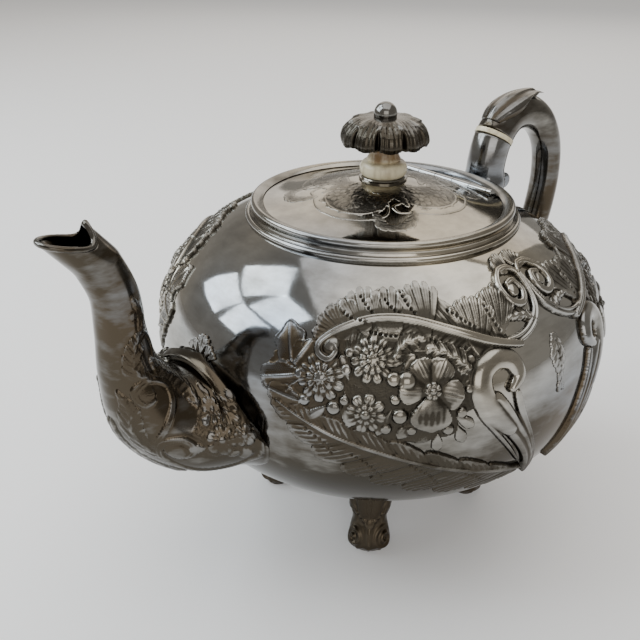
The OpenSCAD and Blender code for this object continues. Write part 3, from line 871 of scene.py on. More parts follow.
    # C-scroll up to the crest, its volute and the crest's leaves
    r.stroke([(-26, 28.2), (-16, 27), (-8, 29), (-1.5, 34), (1, 41), (1.4, 47)],
             (3.6, 2.6), 1.6, 0.2, groove=0.5, taper=0.5)
    r.stroke([(1.4, 47), (-2, 49.5), (-8, 49), (-12, 44.5), (-11, 39), (-6, 37),
              (-2.6, 40.4), (-4.4, 44.4), (-8, 44)], (2.4, 3.2), 1.7, 0.4, groove=0.2, taper=0.3)
    r.dome((-6.6, 41.8), 2.4, 1.0, 0.9)
    r.fan((-1, 47.5), 8.5, 62, 176, 5, 1.1, ribs=2)
    r.fan((-12, 42), 5.6, 110, 232, 4, 0.9, ribs=2)
    r.leaf([(-4, 31), (-9, 33.6), (-15, 33.8)], [1.4, 2, 1], [1.6, 3, 1.2], 2.8, 0.6, 0.8)
    # light sprays in the plain middle
    r.leaf([(1.6, 24), (0.6, 18), (2, 12), (1, 6)], [1.2, 2.4, 1.8, 0.6], [1.2, 2.4, 1.8, 0.6],
           2.8, 0.8, 0.45, base=0.12, rib=0.2)
    grown = r.height > BURIED + 0.01
    r.height = np.where(grown, r.height * depth, BURIED)
    return r


class TEAPOT_OT_chasing(PieceMaker):
    """Chase the four half panels of ornament round the body"""
    bl_idname = "teapot.chasing"
    bl_label = "Chasing"

    def execute(self, context):
        size = context.scene.teapot_chasing
        relief = chased_side(size.grid, size.depth)
        for side_y, face in ((1, "right"), (-1, "left")):
            for side_u, end in ((1, "front"), (-1, "rear")):
                def place(u, v, h, side_y=side_y, side_u=side_u):
                    return (on_skin(CREST_U + side_u * (u - CREST_U), v, h)
                            * np.array([1, side_y, 1]))
                piece = relief_skin(f"chased_panel_{end}_{face}", relief, place,
                                    flip=side_y * side_u < 0)
                settle(piece, "pot", (), finish("chased"))
        tuft = Relief(*np.meshgrid(np.arange(-12, 12.2, size.grid),
                                   np.arange(10, 27, size.grid)))
        tuft.tooth = 0.6
        for lean in (-1, 1):
            tuft.fan((lean * 2.4, 13), 5.2, 66 - lean * 20, 114 - lean * 20, 3, 0.45)
            tuft.fan((lean * 4.4, 13), 3.8, 60 - lean * 36, 120 - lean * 36, 3, 0.4)
        tuft.fan((0, 13), 7.4, 62, 118, 4, 0.55)
        quarter_turn = BELLY_R * math.pi / 2
        for name, at in (("chased_tuft_spout", -quarter_turn),
                         ("chased_tuft_handle", quarter_turn)):
            piece = relief_skin(name, tuft, lambda u, v, h, at=at: on_skin(u + at, v, h))
            settle(piece, "pot", (), finish("chased"))
        return {"FINISHED"}


# ---- Lid ------------------------------------------------------------------------

def dome_disc(name, r, keep):
    """Part of the domed cover sheet on one side of the hinge (keep is -1 or 1)."""
    run = np.linspace(0, r, 40)
    top = [(x, float(lid_top(x))) for x in run]
    under = [(x, z - LID_SHEET) for x, z in top[::-1]]
    rim = [(r + 0.06, (top[-1][1] + under[0][1]) / 2)]
    disc = spun(name, top + rim + under, steps=192, rounds=0, angle=45)
    only(disc)
    bpy.ops.object.mode_set(mode="EDIT")
    bpy.ops.mesh.select_all(action="SELECT")
    edge = (HINGE_X + keep * HINGE_EDGE) * MM
    bpy.ops.mesh.bisect(plane_co=(edge, 0, 0), plane_no=(-keep, 0, 0),
                        clear_outer=True, use_fill=True)
    bpy.ops.object.mode_set(mode="OBJECT")
    smooth(disc, 45)
    return disc


def engraved_lid(grid):
    """Four repeats of strapwork and flowers round the finial."""
    x, y = np.meshgrid(np.arange(-36, 31, grid), np.arange(-36, 36.2, grid))
    whole = np.full(x.shape, BURIED)
    for k in range(4):
        a = math.radians(90 * k + 8)
        r = Relief(x * math.cos(a) + y * math.sin(a), -x * math.sin(a) + y * math.cos(a))
        r.ground((2, -20), 11.5, 0.62, 0.1)
        r.ground((-3, -12.5), 5, 0.8, 0.1)
        r.stroke([(-13, -22), (-6, -28), (3, -30), (12, -27), (17, -21), (15, -16)],
                 (1.0, 1.4), 0.34, 0.08, groove=0.4)
        r.stroke([(-9, -21), (-3, -25.6), (4, -26.6), (11, -23.6), (13.6, -19)], 0.9, 0.3, 0.08)
        r.stroke([(15, -16), (11.6, -14.6), (9.6, -17), (11.6, -19)], (1.4, 1.0), 0.36, 0.08)
        r.stroke([(-13, -22), (-16, -19.4), (-15, -16), (-11.6, -16.6)], (1.0, 1.5), 0.36, 0.08)
        for at, size, count in (((-4.5, -19.5), 3.6, 7), ((3.4, -20.6), 4.0, 8),
                                ((8.4, -15.6), 2.8, 6), ((-1, -13.6), 2.9, 6)):
            r.petals(at, size, count, 0.4, 0.12)
            r.dome(at, size * 0.28, 0.22, 0.34)
        for path in ([(6, -12), (12, -9), (19, -11)], [(-6, -13), (-12, -11), (-19, -14)],
                     [(0, -17), (0, -23), (4, -25)], [(14, -22), (20, -25), (26, -22)],
                     [(-12, -22.5), (-19, -25), (-25, -21)]):
            r.leaf(path, [1.2, 2.6, 0.8], [1.2, 2.6, 0.8], 2.4, 0.8, 0.3, base=0.08, rib=0.12)
        r.fan((-7, -8.6), 4.2, 190, 350, 6, 0.34, base=0.08, ribs=1)
        whole = np.maximum(whole, r.height)
    rho = np.hypot(x, y)
    whole[(rho < 9.2) | (rho > 36)] = BURIED
    r = Relief(x, y)
    r.height = np.where(whole > BURIED + 0.01, whole * ENGRAVED, BURIED)
    return r


class TEAPOT_OT_lid(PieceMaker):
    """Make the domed lid, its engraving and the plate behind the hinge"""
    bl_idname = "teapot.lid"
    bl_label = "Lid"

    def execute(self, context):
        lid = dome_disc("domed_lid", MOUTH_R - 0.3, -1)
        settle(lid, "lid", ["lid"], finish("raised"))
        plate = dome_disc("hinge_plate", MOUTH_R, 1)
        settle(plate, "pot", ["rear_plate"], finish("raised"))
        relief = engraved_lid(context.scene.teapot_chasing.grid * 0.85)

        def on_lid(x, y, h):
            return np.stack([x, y, lid_top(np.hypot(x, y)) + h], -1)

        piece = relief_skin("lid_engraving", relief, on_lid, reach=3)
        settle(piece, "lid", (), finish("chased"))
        return {"FINISHED"}


# ---- Swept pieces -----------------------------------------------------------------

def heading(stations, u):
    """Unit direction of a swept bar in the XZ plane at each u."""
    last = len(stations) - 1
    d = along(stations, np.minimum(u + 0.02, last)) - along(stations, np.maximum(u - 0.02, 0))
    d = d[:, :2]
    return d / np.hypot(*d.T)[:, None]


def ovals(stations, u, sides, skin=0.0):
    """Sections of a swept bar at each u, square to its curve."""
    s, h = along(stations, u), heading(stations, u)
    a = np.linspace(0, TURN, sides, endpoint=False)
    w, d = (s[:, 2] - skin)[:, None], (s[:, 3] - skin)[:, None]
    return np.stack([s[:, :1] - h[:, 1:] * d * np.cos(a), -w * np.sin(a),
                     s[:, 1:2] + h[:, :1] * d * np.cos(a)], -1)


def normals_of(rings):
    """Unit normals of a skin of rings."""
    along_way = np.gradient(rings, axis=0)
    around = np.roll(rings, -1, 1) - np.roll(rings, 1, 1)
    n = np.cross(around, along_way)
    return n / np.maximum(np.linalg.norm(n, axis=-1, keepdims=True), 1e-9)


def charted(rings, zero):
    """Chart of a skin in millimetres: way round from the line at index zero, way along."""
    sides = rings.shape[1]
    step = np.linalg.norm(np.roll(rings, -1, 1) - rings, axis=-1)
    round_way = np.concatenate([np.zeros((len(rings), 1)), np.cumsum(step, 1)[:, :-1]], 1)
    half = sides // 2
    mirror = np.concatenate([np.arange(half + 1), np.arange(half - 1, 0, -1)])
    u = round_way[:, mirror] - round_way[:, zero:zero + 1]
    rise = np.linalg.norm(np.diff(rings[:, zero], axis=0), axis=-1)
    v = np.repeat(np.concatenate([[0], np.cumsum(rise)])[:, None], sides, 1)
    return u, v


SPOUT = [
    [-77, 69, 28.5, 19.5], [-88, 69.5, 23, 17], [-98, 77.5, 15.5, 14], [-103.8, 91, 10, 9.6],
    [-105.4, 104, 7.6, 7.6], [-106.2, 117, 7, 7], [-110.5, 128, 6.7, 6.8]]
TIP, THROAT = np.array([-126.5, 137.0]), np.array([-108.5, 133.0])


def root_ring(sides, skin):
    """Edge of the flared root, let into the body, with a pointed top."""
    a = np.linspace(0, TURN, sides, endpoint=False)
    point = np.where(np.cos(a) < 0, 1.6, 1.0)         # straighter sides above
    y = (skin - SPOUT[0][2]) * np.sign(np.sin(a)) * np.abs(np.sin(a)) ** point
    z = ROOT_Z - (SPOUT[0][3] - skin) * np.sign(np.cos(a)) * np.abs(np.cos(a)) ** point
    z = z - 5 * np.sin(a) ** 2
    return np.stack([-np.sqrt((skin_r(z) - BITE) ** 2 - y ** 2), y, z], -1)


def mouth_ring(sides, skin):
    """Edge of the mouth, which dips to a lip in front and rises to a hood behind."""
    a = np.linspace(0, TURN, sides, endpoint=False)
    mid, half = (TIP + THROAT) / 2, (THROAT[0] - TIP[0]) / 2 - skin
    x = mid[0] - half * np.cos(a)
    hood = 6.3 * unit(-np.cos(a)) ** 4
    slope = (THROAT[1] - TIP[1]) / (THROAT[0] - TIP[0])
    return np.stack([x - 0.5 * hood, (skin - 6.8) * np.sin(a),
                     mid[1] + slope * (x - mid[0]) + hood], -1)


def spout_skin(sides, skin, rows):
    """Rings from the root to the mouth, evened out where the parts meet."""
    last = len(SPOUT) - 1
    u = np.linspace(0.25, last, rows)
    bar = ovals(SPOUT, u, sides, skin)
    root, mouth = root_ring(sides, skin), mouth_ring(sides, skin)
    lead = [root + (bar[0] - root) * t for t in np.linspace(0, 1, 9)[:-1]]
    end = [bar[-1] + (mouth - bar[-1]) * t for t in np.linspace(0, 1, 25)[1:]]
    rings = np.concatenate([lead, bar, end])
    reach = 4
    pad = np.pad(rings, ((reach, reach), (0, 0), (0, 0)), mode="edge")
    even = sum(pad[k:k + len(rings)] for k in range(2 * reach + 1)) / (2 * reach + 1)
    n = len(rings)
    hold = np.minimum(np.arange(n), np.arange(n)[::-1])[:, None, None]
    t = unit((hold - 1) / 5)
    return rings * (1 - t) + even * t


def spout_ornament(u, v):
    """Scrolls, acanthus and a flower cartouche up the lower two thirds of the spout."""
    r = Relief(u, v)
    r.height[:] = 0
    r.tooth = 1.0
    r.ground((7, 17), 11.5, 0.95, 0.25)
    r.tooth = 0.0
    for at, size, count in (((11, 14), 5.4, 7), ((1.5, 17.5), 5.2, 6), ((9.5, 22.5), 4.6, 8),
                            ((3, 10), 4.0, 6)):
        r.petals(at, size, count, 1.5, 0.4)
        r.petals(at, size * 0.6, count, 1.4, 0.65, 20)
        r.dome(at, size * 0.25, 0.8, 1.4)
    for at in ((15.4, 18.5), (15.4, 9.5), (6, 6), (-3, 13), (5, 24.5), (14.6, 24)):
        r.dome(at, 1.5, 1.2, 0.4)
    for root, tip in (((14, 11), (18, 7)), ((-2, 21), (-5, 25)), ((13, 23.5), (17, 28)),
                      ((5, 7), (7, 2.5)), ((-1, 11), (-6, 9))):
        r.petal(root, tip, 3.6, 1.2, 0.4, 3)
    # scroll that bounds the cartouche below
    r.stroke([(2, 3.5), (-5, 5), (-11, 11), (-14, 19), (-13, 27), (-8, 31), (-3.4, 28),
              (-4, 23.6), (-8, 23.6)], (1.4, 2.8), 1.3, 0.1, groove=0.35)
    r.dome((-7.6, 26.6), 3.2, 1.5, 0.2)
    r.tooth = 0.5
    # scroll that climbs the side
    r.stroke([(-13, 31), (-4, 33.5), (3.5, 38), (5.5, 44), (1, 49), (-4.5, 47.4), (-4, 43),
              (-0.6, 42.6)], (2.2, 2.8), 1.1, 0.1, groove=0.35)
    r.dome((-1.6, 45.4), 2.6, 0.9, 0.2)
    r.leaf([(-13, 30), (-12, 37), (-8.6, 42.5), (-9, 48)], [3, 4, 3.4, 1], [2, 4, 3, 1],
           3.0, 0.9, 0.9)
    r.leaf([(-19, 20), (-23, 26), (-22, 33), (-19, 38)], [2, 5, 4, 1], [2, 4, 3, 1],
           3.4, 0.9, 0.9)
    r.leaf([(9, 29), (12, 35), (10.5, 42), (7, 48), (4.4, 54)], [2, 4.4, 4, 3, 1],
           [2, 3.6, 3, 3, 1], 3.4, 0.9, 1.0)
    r.leaf([(1, 49), (-2, 54), (-0.5, 60), (2.5, 64)], [1.6, 3.4, 2.6, 0.8],
           [1.6, 3.4, 2.6, 0.8], 3.0, 0.9, 0.9)
    r.stroke([(4, 52), (7, 57), (5, 62.5), (1.4, 61.4), (2.4, 58.4)], (1.4, 2.2), 0.9, 0.1)
    r.dome((4.2, 66.5), 2.0, 0.8, 0.1)
    r.dome((1.2, 69.5), 1.5, 0.6, 0.1)
    r.leaf([(3.4, 64), (4.6, 69), (2.2, 74)], [1.4, 2.4, 0.8], [1.4, 2.4, 0.8], 2.8, 0.9, 0.6)
    # soft ridges that run on up the neck
    for w in (-6.5, 6.5):
        line = bump(u - w * (1 - 0.004 * (v - 60)), 1.6)
        r.height = np.maximum(r.height, 0.45 * line * unit((v - 56) / 14)
                              * unit((100 - v) / 12))
    r.height = r.height * LOW_RELIEF
    # crisp line along the root
    r.height = np.maximum(r.height, 0.35 * bump(v - 1.6, 0.5))
    return r


class TEAPOT_OT_spout(PieceMaker):
    """Model the hollow spout with its chased lower part and rolled mouth"""
    bl_idname = "teapot.spout"
    bl_label = "Spout"

    def execute(self, context):
        sides = 256
        rings = spout_skin(sides, 0.0, 220)
        u, v = charted(rings, sides // 4)
        ornament = spout_ornament(u, v)
        relief = ornament.height * context.scene.teapot_chasing.depth
        fade = unit((v[-1:] - v) / 6)
        outer = rings + normals_of(rings) * (relief * fade)[..., None]
        shade = tarnish_of(relief, 3) * unit(2 * relief + 0.35)
        # rolled edge round the mouth
        rim, inner_rim = mouth_ring(sides, 0.0), mouth_ring(sides, WALL)
        out = rim - rim.mean(0)
        out /= np.linalg.norm(out, axis=1, keepdims=True)
        bead_r = 0.85
        roll = [(rim + inner_rim) / 2 + out * bead_r * math.cos(a)
                + np.array([0, 0, bead_r * math.sin(a)])
                for a in np.radians(np.linspace(-60, 200, 9))]
        inner = spout_skin(sides, WALL, 60)[::-1]
        skin = np.concatenate([outer[:-2], roll, inner[1:]])
        shades = np.concatenate([shade[:-2], np.full((len(roll) + len(inner) - 1, sides), 0.1)])
        shades[len(outer) + len(roll):] = 0.7
        tooth = np.zeros(shades.shape)
        tooth[:len(outer) - 2] = ornament.matting[:-2]
        spout = skin_of_rings("chased_spout", skin, loop=True, patina=shades,
                              matting=tooth)
        settle(spout, "pot", ["spout"], finish("spout"))
        return {"FINISHED"}


# ---- Handle -----------------------------------------------------------------------

HANDLE = [
    [56.5, 104, 8, 8], [56.5, 116, 7.4, 7.4], [57, 126, 7.4, 7.4], [60.5, 135.5, 7.4, 7.4],
    [68, 141.5, 7, 7], [78, 142, 6.9, 6.8], [88, 137, 6.5, 6.4], [95, 127, 6.1, 5.9],
    [97.3, 114, 5.9, 5.9], [95.5, 100, 5.9, 5.9], [91, 88, 5.9, 5.9], [84, 79, 6.3, 6.3],
    [74, 74, 6.9, 6.9]]
UPPER_CUT, LOWER_CUT = 2.92, 10.45      # places along the loop of its two insulators
BAR_R = 7
BUD_X, BUD_Z, BUD_R = 66.6, 116.5, 3.2
INSULATOR_T = 1.8


def beside(cut, offset):
    """Parameter of the handle offset millimetres on from a cut."""
    d = along(HANDLE, cut + 0.02) - along(HANDLE, cut - 0.02)
    return cut + offset / (np.hypot(d[0, 0], d[0, 1]) / 0.04)


def bar_ends(rings, inset=0.45):
    """Rounds off both ends of a bar: a small ring before the first and after the last."""
    mids = rings.mean(1, keepdims=True)
    first = mids[:1] + (rings[:1] - mids[:1]) * (1 - inset / BAR_R)
    last = mids[-1:] + (rings[-1:] - mids[-1:]) * (1 - inset / BAR_R)
    return np.concatenate([first, rings, last])


class TEAPOT_OT_handle(PieceMaker):
    """Model the two sockets, the loop and its thumb leaf"""
    bl_idname = "teapot.handle"
    bl_label = "Handle"

    def execute(self, context):
        sides = 72
        gap = INSULATOR_T / 2 + 0.02
        a = np.linspace(0, TURN, sides, endpoint=False)
        # upper socket, stood on the shoulder
        u = np.linspace(0.7, beside(UPPER_CUT, -gap), 40)
        rings = ovals(HANDLE, u, sides)
        flare = 1.6 * bump(rings[..., 2] - 117.5, 3.2)
        n = normals_of(rings)
        rings = rings + n * (flare * 0.6)[..., None]
        floor_z = shoulder_z(np.hypot(rings[..., 0], rings[..., 1])) - BITE
        rings[..., 2] = np.maximum(rings[..., 2], floor_z)
        socket = skin_of_rings("handle_socket_upper", bar_ends(rings))
        self.clean(socket)
        settle(socket, "pot", ["upper_socket"], finish("cast"))
        # scroll bud under the grip
        leave_edit()
        bpy.ops.mesh.primitive_cylinder_add(
            vertices=40, radius=BUD_R * MM, depth=2 * BUD_R * MM,
            location=(BUD_X * MM, 0, BUD_Z * MM), rotation=(math.pi / 2, 0, 0))
        bud = context.object
        bud.name = bud.data.name = "scroll_bud"
        bpy.ops.object.transform_apply(location=True, rotation=True)
        bevel(bud, 1.5, 4)
        smooth(bud, 50)
        settle(bud, "pot", (), finish("cast"))
        # loop, with a soft crest along its back
        u = np.linspace(beside(UPPER_CUT, gap), beside(LOWER_CUT, -gap), 150)
        rings = ovals(HANDLE, u, sides)
        crest = 0.28 * bump(np.mod(a - math.pi, TURN) - math.pi, 0.35)
        ends = unit(np.minimum(u - u[0], u[-1] - u) / 0.3)[:, None]
        rings = rings + normals_of(rings) * (crest[None] * ends)[..., None]
        loop = skin_of_rings("handle_loop_bar", bar_ends(rings))
        settle(loop, "pot", ["handle_loop"], finish("spout"))
        # lower socket, let into the belly
        u = np.linspace(beside(LOWER_CUT, gap), len(HANDLE) - 1, 40)
        rings = ovals(HANDLE, u, sides)
        wall_x = np.sqrt(np.maximum((skin_r(rings[..., 2]) - BITE) ** 2 - rings[..., 1] ** 2, 0))
        rings[..., 0] = np.maximum(rings[..., 0], wall_x)
        socket = skin_of_rings("handle_socket_lower", bar_ends(rings))
        self.clean(socket)
        settle(socket, "pot", ["lower_socket"], finish("cast"))
        self.leaf()
        return {"FINISHED"}

    def clean(self, piece):
        """Takes out the faces that a fitted end has pressed flat."""
        only(piece)
        bpy.ops.object.mode_set(mode="EDIT")
        bpy.ops.mesh.select_all(action="SELECT")
        bpy.ops.mesh.remove_doubles(threshold=0.00002)
        bpy.ops.mesh.dissolve_degenerate(threshold=0.00001)
        bpy.ops.object.mode_set(mode="OBJECT")

    def leaf(self):
        """Three-lobed acanthus over the top of the loop, its tips lifted."""
        rows, half = 110, 40
        start, end = UPPER_CUT + 0.3, 5.45
        across = np.linspace(-1, 1, 2 * half + 1)
        t = np.linspace(0, 1, rows)[:, None]
        lobe = 0.24 * np.abs(np.sin(1.5 * math.pi * across)) ** 0.8 + 0.22 * np.abs(across) ** 3
        lobe = lobe + 0.3 * bump(across, 0.22)
        u = start + (end - start - lobe[None]) * t
        spread = np.radians(30 + 34 * np.sin(math.pi * np.minimum(1, t * 1.05 + 0.05)))
        a = across[None] * spread
        ridge = 0.85 * np.abs(np.cos(1.5 * math.pi * across)) ** 0.8
        vein = 0.05 * np.cos(12 * math.pi * across)
        lift = 1.3 * t ** 3 + (ridge + vein)[None] * unit(5 * t) * (1 - 0.3 * t)
        edge = np.clip(8 * (1 - np.abs(across)), 0.15, 1)[None]
        top = self.on_bar(u, a, 0.2 + lift * edge + 0.5 * edge)
        under = self.on_bar(u, a, np.full(lift.shape, -0.25))
        shade = np.repeat(unit(0.75 - 0.8 * (ridge + vein))[None], rows, 0)
        skin = np.concatenate([top, under[:, ::-1]], 1)
        shades = np.concatenate([shade, np.full(shade.shape, 0.8)], 1)
        piece = skin_of_rings("thumb_acanthus", skin, patina=shades)
        settle(piece, "pot", ["thumb_leaf"], finish("cap"))

    def on_bar(self, u, a, lift):
        """Points round the handle at parameter u and angle a, lifted off its skin."""
        flat = u.ravel()
        s, h = along(HANDLE, flat), heading(HANDLE, flat)
        a, lift = a.ravel(), lift.ravel()
        d, w = s[:, 3] + lift, s[:, 2] + lift
        p = np.stack([s[:, 0] - h[:, 1] * d * np.cos(a), -w * np.sin(a),
                      s[:, 1] + h[:, 0] * d * np.cos(a)], -1)
        return p.reshape(*u.shape, 3)


# ---- Finial -----------------------------------------------------------------------

FLOWER_R, PETALS, CROWN_H = 15.8, 10, 9.4


class TEAPOT_OT_finial(PieceMaker):
    """Turn the ferrule, spool and ball, and cast the flower cap"""
    bl_idname = "teapot.finial"
    bl_label = "Finial"

    def execute(self, context):
        stud = 1.5
        ferrule = spun("finial_ferrule_turned", [
            (stud, DOME_Z), (4, DOME_Z - 0.05), (8.4, float(lid_top(8.4))), (8.5, DOME_Z - 0.1),
            (8.2, DOME_Z + 0.15), (7.8, DOME_Z + 0.2), (7.6, DOME_Z + 0.55),
            (stud, DOME_Z + 0.6), (stud, DOME_Z)], steps=96, rounds=0, angle=30)
        settle(ferrule, "lid", ["finial_ferrule"], finish("cast"))
        z = DOME_Z + 0.6
        bead = [(5.9 + 2.4 * math.cos(a), z + 2.6 * (1 + math.sin(a) / math.sin(1.134)))
                for a in np.linspace(-1.134, 1.134, 14)]
        spool = spun("turned_spool", [(stud, z)] + bead + [
            (5.6, z + 5.4), (5.9, z + 5.8), (5.9, z + 6.2), (5.3, z + 7.2), (5.0, z + 8.6),
            (5.3, z + 10.3), (6.2, z + 11.9), (stud, z + 11.9), (stud, z)],
            steps=96, rounds=0, angle=40)
        settle(spool, "lid", ["finial_spool"], finish("spool"))
        neck = FLOWER_Z + CROWN_H - 0.3
        ball_r = 4
        ball_arc = [(ball_r * math.cos(a), BALL_Z + ball_r * math.sin(a))
                    for a in np.linspace(-0.62, math.pi / 2, 22)]
        ball_arc[-1] = (0, BALL_Z + ball_r)
        ball = spun("ball_finial", [(0, neck), (3.1, neck), (3.3, neck + 0.2)] + ball_arc,
                    steps=64, rounds=1, angle=60)
        settle(ball, "lid", ["ball_nut"], finish("cast"))
        self.flower()
        return {"FINISHED"}

    def flower(self):
        """Cap of drooping petals, each with ribs, over a foliate crown."""
        sides, rows = 480, 90
        a = np.linspace(0, TURN, sides, endpoint=False)[None]
        t = np.linspace(0, 1, rows)[:, None]
        cell = np.mod(PETALS * a / TURN, 1)
        f = np.abs(cell - 0.5) * 2
        low = unit(1 - t / 0.62)                 # the petals proper
        high = unit((t - 0.35) / 0.3)            # the crown's leaves
        full = 4 + (FLOWER_R - 4) * np.cos(math.pi / 2 * t) ** 0.62
        groove = 1.5 * f ** 4 + 1.3 * bump(1 - f, 0.1)
        ribs = (0.5 * bump(f, 0.16) + 0.35 * bump(f - 0.78, 0.1)
                + 0.12 * np.cos(TURN * 7 * cell))
        leaf_f = np.abs(np.mod(PETALS * a / TURN + 0.5, 1) - 0.5) * 2
        crown = (1.1 * bump(leaf_f, 0.3) - 0.5 * leaf_f
                 + 0.35 * np.cos(TURN * 4 * cell) + 0.12 * np.cos(40 * t + 9 * a))
        inward = (groove + 0.6 - ribs) * low ** 0.5 - crown * high * unit(3.2 * (1 - t))
        curl = 0.9 * bump(t, 0.06) * (1 - f)    # rim of each petal turned in
        r = full - np.maximum(inward, -0.6) - curl - 0.6 * high
        r = np.minimum(r, FLOWER_R)
        z = FLOWER_Z + CROWN_H * np.sin(math.pi / 2 * t) ** 0.92
        z = z + 1.9 * f ** 2.4 * (1 - t) ** 4
        z = z + (0.35 * bump(leaf_f, 0.3) - 0.2) * high * (1 - t)
        outer = np.stack([r * np.cos(a), r * np.sin(a), z], -1)
        under = []
        for scale, rise in ((0.93, 0.35), (0.88, 2.0), (0.78, 4.2), (0.55, 4.6), (0.40, 3.2)):
            ring = outer[0].copy()
            ring[:, :2] *= scale
            ring[:, 2] = FLOWER_Z + rise
            under.append(ring)
        crest = outer[-1].copy()
        crest[:, :2] *= 0.5
        rings = np.concatenate([np.array(under)[::-1], outer, crest[None]])
        shade = np.concatenate([np.full((len(under), sides), 0.9),
                                unit(0.25 + 0.28 * inward),
                                np.full((1, sides), 0.4)])
        flower = skin_of_rings("flower_cap", rings, patina=shade)
        settle(flower, "lid", ["finial_flower"], finish("cap"))


# ---- Feet -------------------------------------------------------------------------

FOOT_R = 38.5
FOOT = [
    [FOOT_R, 0, 6.4, 5], [FOOT_R + 1, 3, 8, 6.6], [FOOT_R + 0.5, 8, 7.4, 5.6],
    [FOOT_R - 1, 13, 6.4, 4.8], [FOOT_R - 1.5, 18, 7.6, 5], [FOOT_R - 2.5, 24, 8.8, 6],
    [FOOT_R - 4, 29, 9.4, 7]]


def bowl_z(r):
    """Height of the bowl's underside at radius r."""
    return BELLY_Z - BOWL_DEPTH * quarter(np.asarray(r) / BELLY_R, BOWL_N)


def scroll(x, y, at, r, turn=1):
    """A rolled volute in low relief."""
    dx, dy = x - at[0], (y - at[1]) * turn
    rho, a = np.hypot(dx, dy), np.arctan2(dy, dx)
    wave = np.cos(TURN * rho / (0.52 * r) - a)
    return (0.5 + 0.5 * wave) * unit(1.25 * (1 - rho / r)) ** 0.5


class TEAPOT_OT_feet(PieceMaker):
    """Cast one foliate scroll foot and set four of them round the bowl"""
    bl_idname = "teapot.feet"
    bl_label = "Feet"

    def execute(self, context):
        sides, rows = 200, 150
        a = np.linspace(0, TURN, sides, endpoint=False)
        u = np.linspace(0, len(FOOT) - 1, rows)
        s = along(FOOT, u)
        rings = np.stack([s[:, :1] + s[:, 3:] * np.cos(a), s[:, 2:3] * np.sin(a),
                          np.broadcast_to(s[:, 1:2], (rows, sides))], -1)
        turn = (a + math.pi) % TURN - math.pi       # 0 faces outwards
        x = turn[None] * 7.0                                 # millimetres round the foot
        z = rings[..., 2]
        h = 0.9 * scroll(x, z, (-6.2, 6), 5.2) + 0.9 * scroll(x, z, (6.2, 6), 5.2, -1)
        h = np.maximum(h, 0.7 * bump(x, 1.1) * unit(z / 3))
        claw = unit(np.cos(x * 1.45)) ** 0.8 * unit((4.2 - z) / 3)
        h = np.maximum(h, 0.6 * claw)
        fan = np.abs(np.sin(x * 0.62)) ** 0.7 * unit((z - 11) / 4)
        h = np.maximum(h, 0.85 * fan * unit((27 - z) / 4))
        for side in (-1, 1):
            h = np.maximum(h, scroll(x, z, (side * 8, 17.5), 4.4, side))
            for k in range(4):
                d = np.hypot(x - side * (2.2 + 1.5 * k), z - (13 + 1.3 * k)) / 1.1
                h = np.maximum(h, 0.9 * round_top(d))
        h = np.maximum(h, 0.9 * np.sqrt(unit(1 - (np.hypot(x, z - 12) / 2.3) ** 2)))
        back = np.clip(np.cos(turn) + 0.5, 0.25, 1)
        h = (h - 0.45) * back * unit(z / 1.2) * unit((28.5 - z) / 3)
        rings = rings + normals_of(rings) * h[..., None]
        rings[..., 2] = np.clip(rings[..., 2], 0, None)
        skin = bowl_z(np.hypot(rings[..., 0], rings[..., 1]))
        rings[..., 2] = np.minimum(rings[..., 2], skin + BITE)
        shade = unit(0.55 - 0.75 * h)
        for name, at in (("front_left", -135), ("front_right", 135), ("rear_left", -45),
                         ("rear_right", 45)):
            c, s = math.cos(math.radians(at)), math.sin(math.radians(at))
            turned = np.stack([rings[..., 0] * c - rings[..., 1] * s,
                               rings[..., 0] * s + rings[..., 1] * c, rings[..., 2]], -1)
            foot = skin_of_rings(f"scroll_foot_{name}", turned, patina=shade)
            settle(foot, "pot", [f"foot_{name}"], finish("chased"))
        return {"FINISHED"}


# ---- Kept nodes and stage -----------------------------------------------------------

class TEAPOT_OT_fittings(PieceMaker):
    """Give the hinge, the insulators and the hidden fittings their finishes"""
    bl_idname = "teapot.fittings"
    bl_label = "Fittings"

    def execute(self, context):
        kept = {
            "hinge": ("pot_knuckles", "lid_knuckles", "hinge_pin"),
            "ring": ("upper_insulator", "lower_insulator"),
            "cast": ("lid_seat", "upper_pins", "lower_pins", "lid_bezel", "finial_stud",
                     "finial_washer", "finial_nut")}
        for key, names in kept.items():
            for node in (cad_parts[name] for name in names):
                for slot in node.material_slots:
                    slot.material = finish(key)
                if not node.material_slots:
                    node.data.materials.append(finish(key))
        return {"FINISHED"}


# Name, place, width, height, power and tone of each
SOFT_LIGHTS = (
    ("overhead", (0.1, -0.1, 1.35), 1.6, 1.4, 11.0, (1.0, 1.0, 1.0)),
    ("front_fill", (-0.75, -0.95, 0.55), 1.0, 0.7, 4.0, (1.0, 0.97, 0.93)),
    ("rear", (0.95, 0.75, 0.85), 1.4, 1.0, 5.0, (1.0, 0.92, 0.82)))
DAYLIGHT = (0.86, 0.94, 1.0)


def area_light(name, at, aim, width, height, power, tone):
    """A soft rectangular light turned towards aim."""
    data = bpy.data.lights.new(name, "AREA")
    data.shape, data.size, data.size_y = "RECTANGLE", width, height
    data.energy, data.color = power, tone
    lamp = bpy.data.objects.new(name, data)
    lamp.location = at
    lamp.rotation_euler = (Vector(aim) - Vector(at)).to_track_quat("-Z", "Y").to_euler()
    bpy.context.collection.objects.link(lamp)


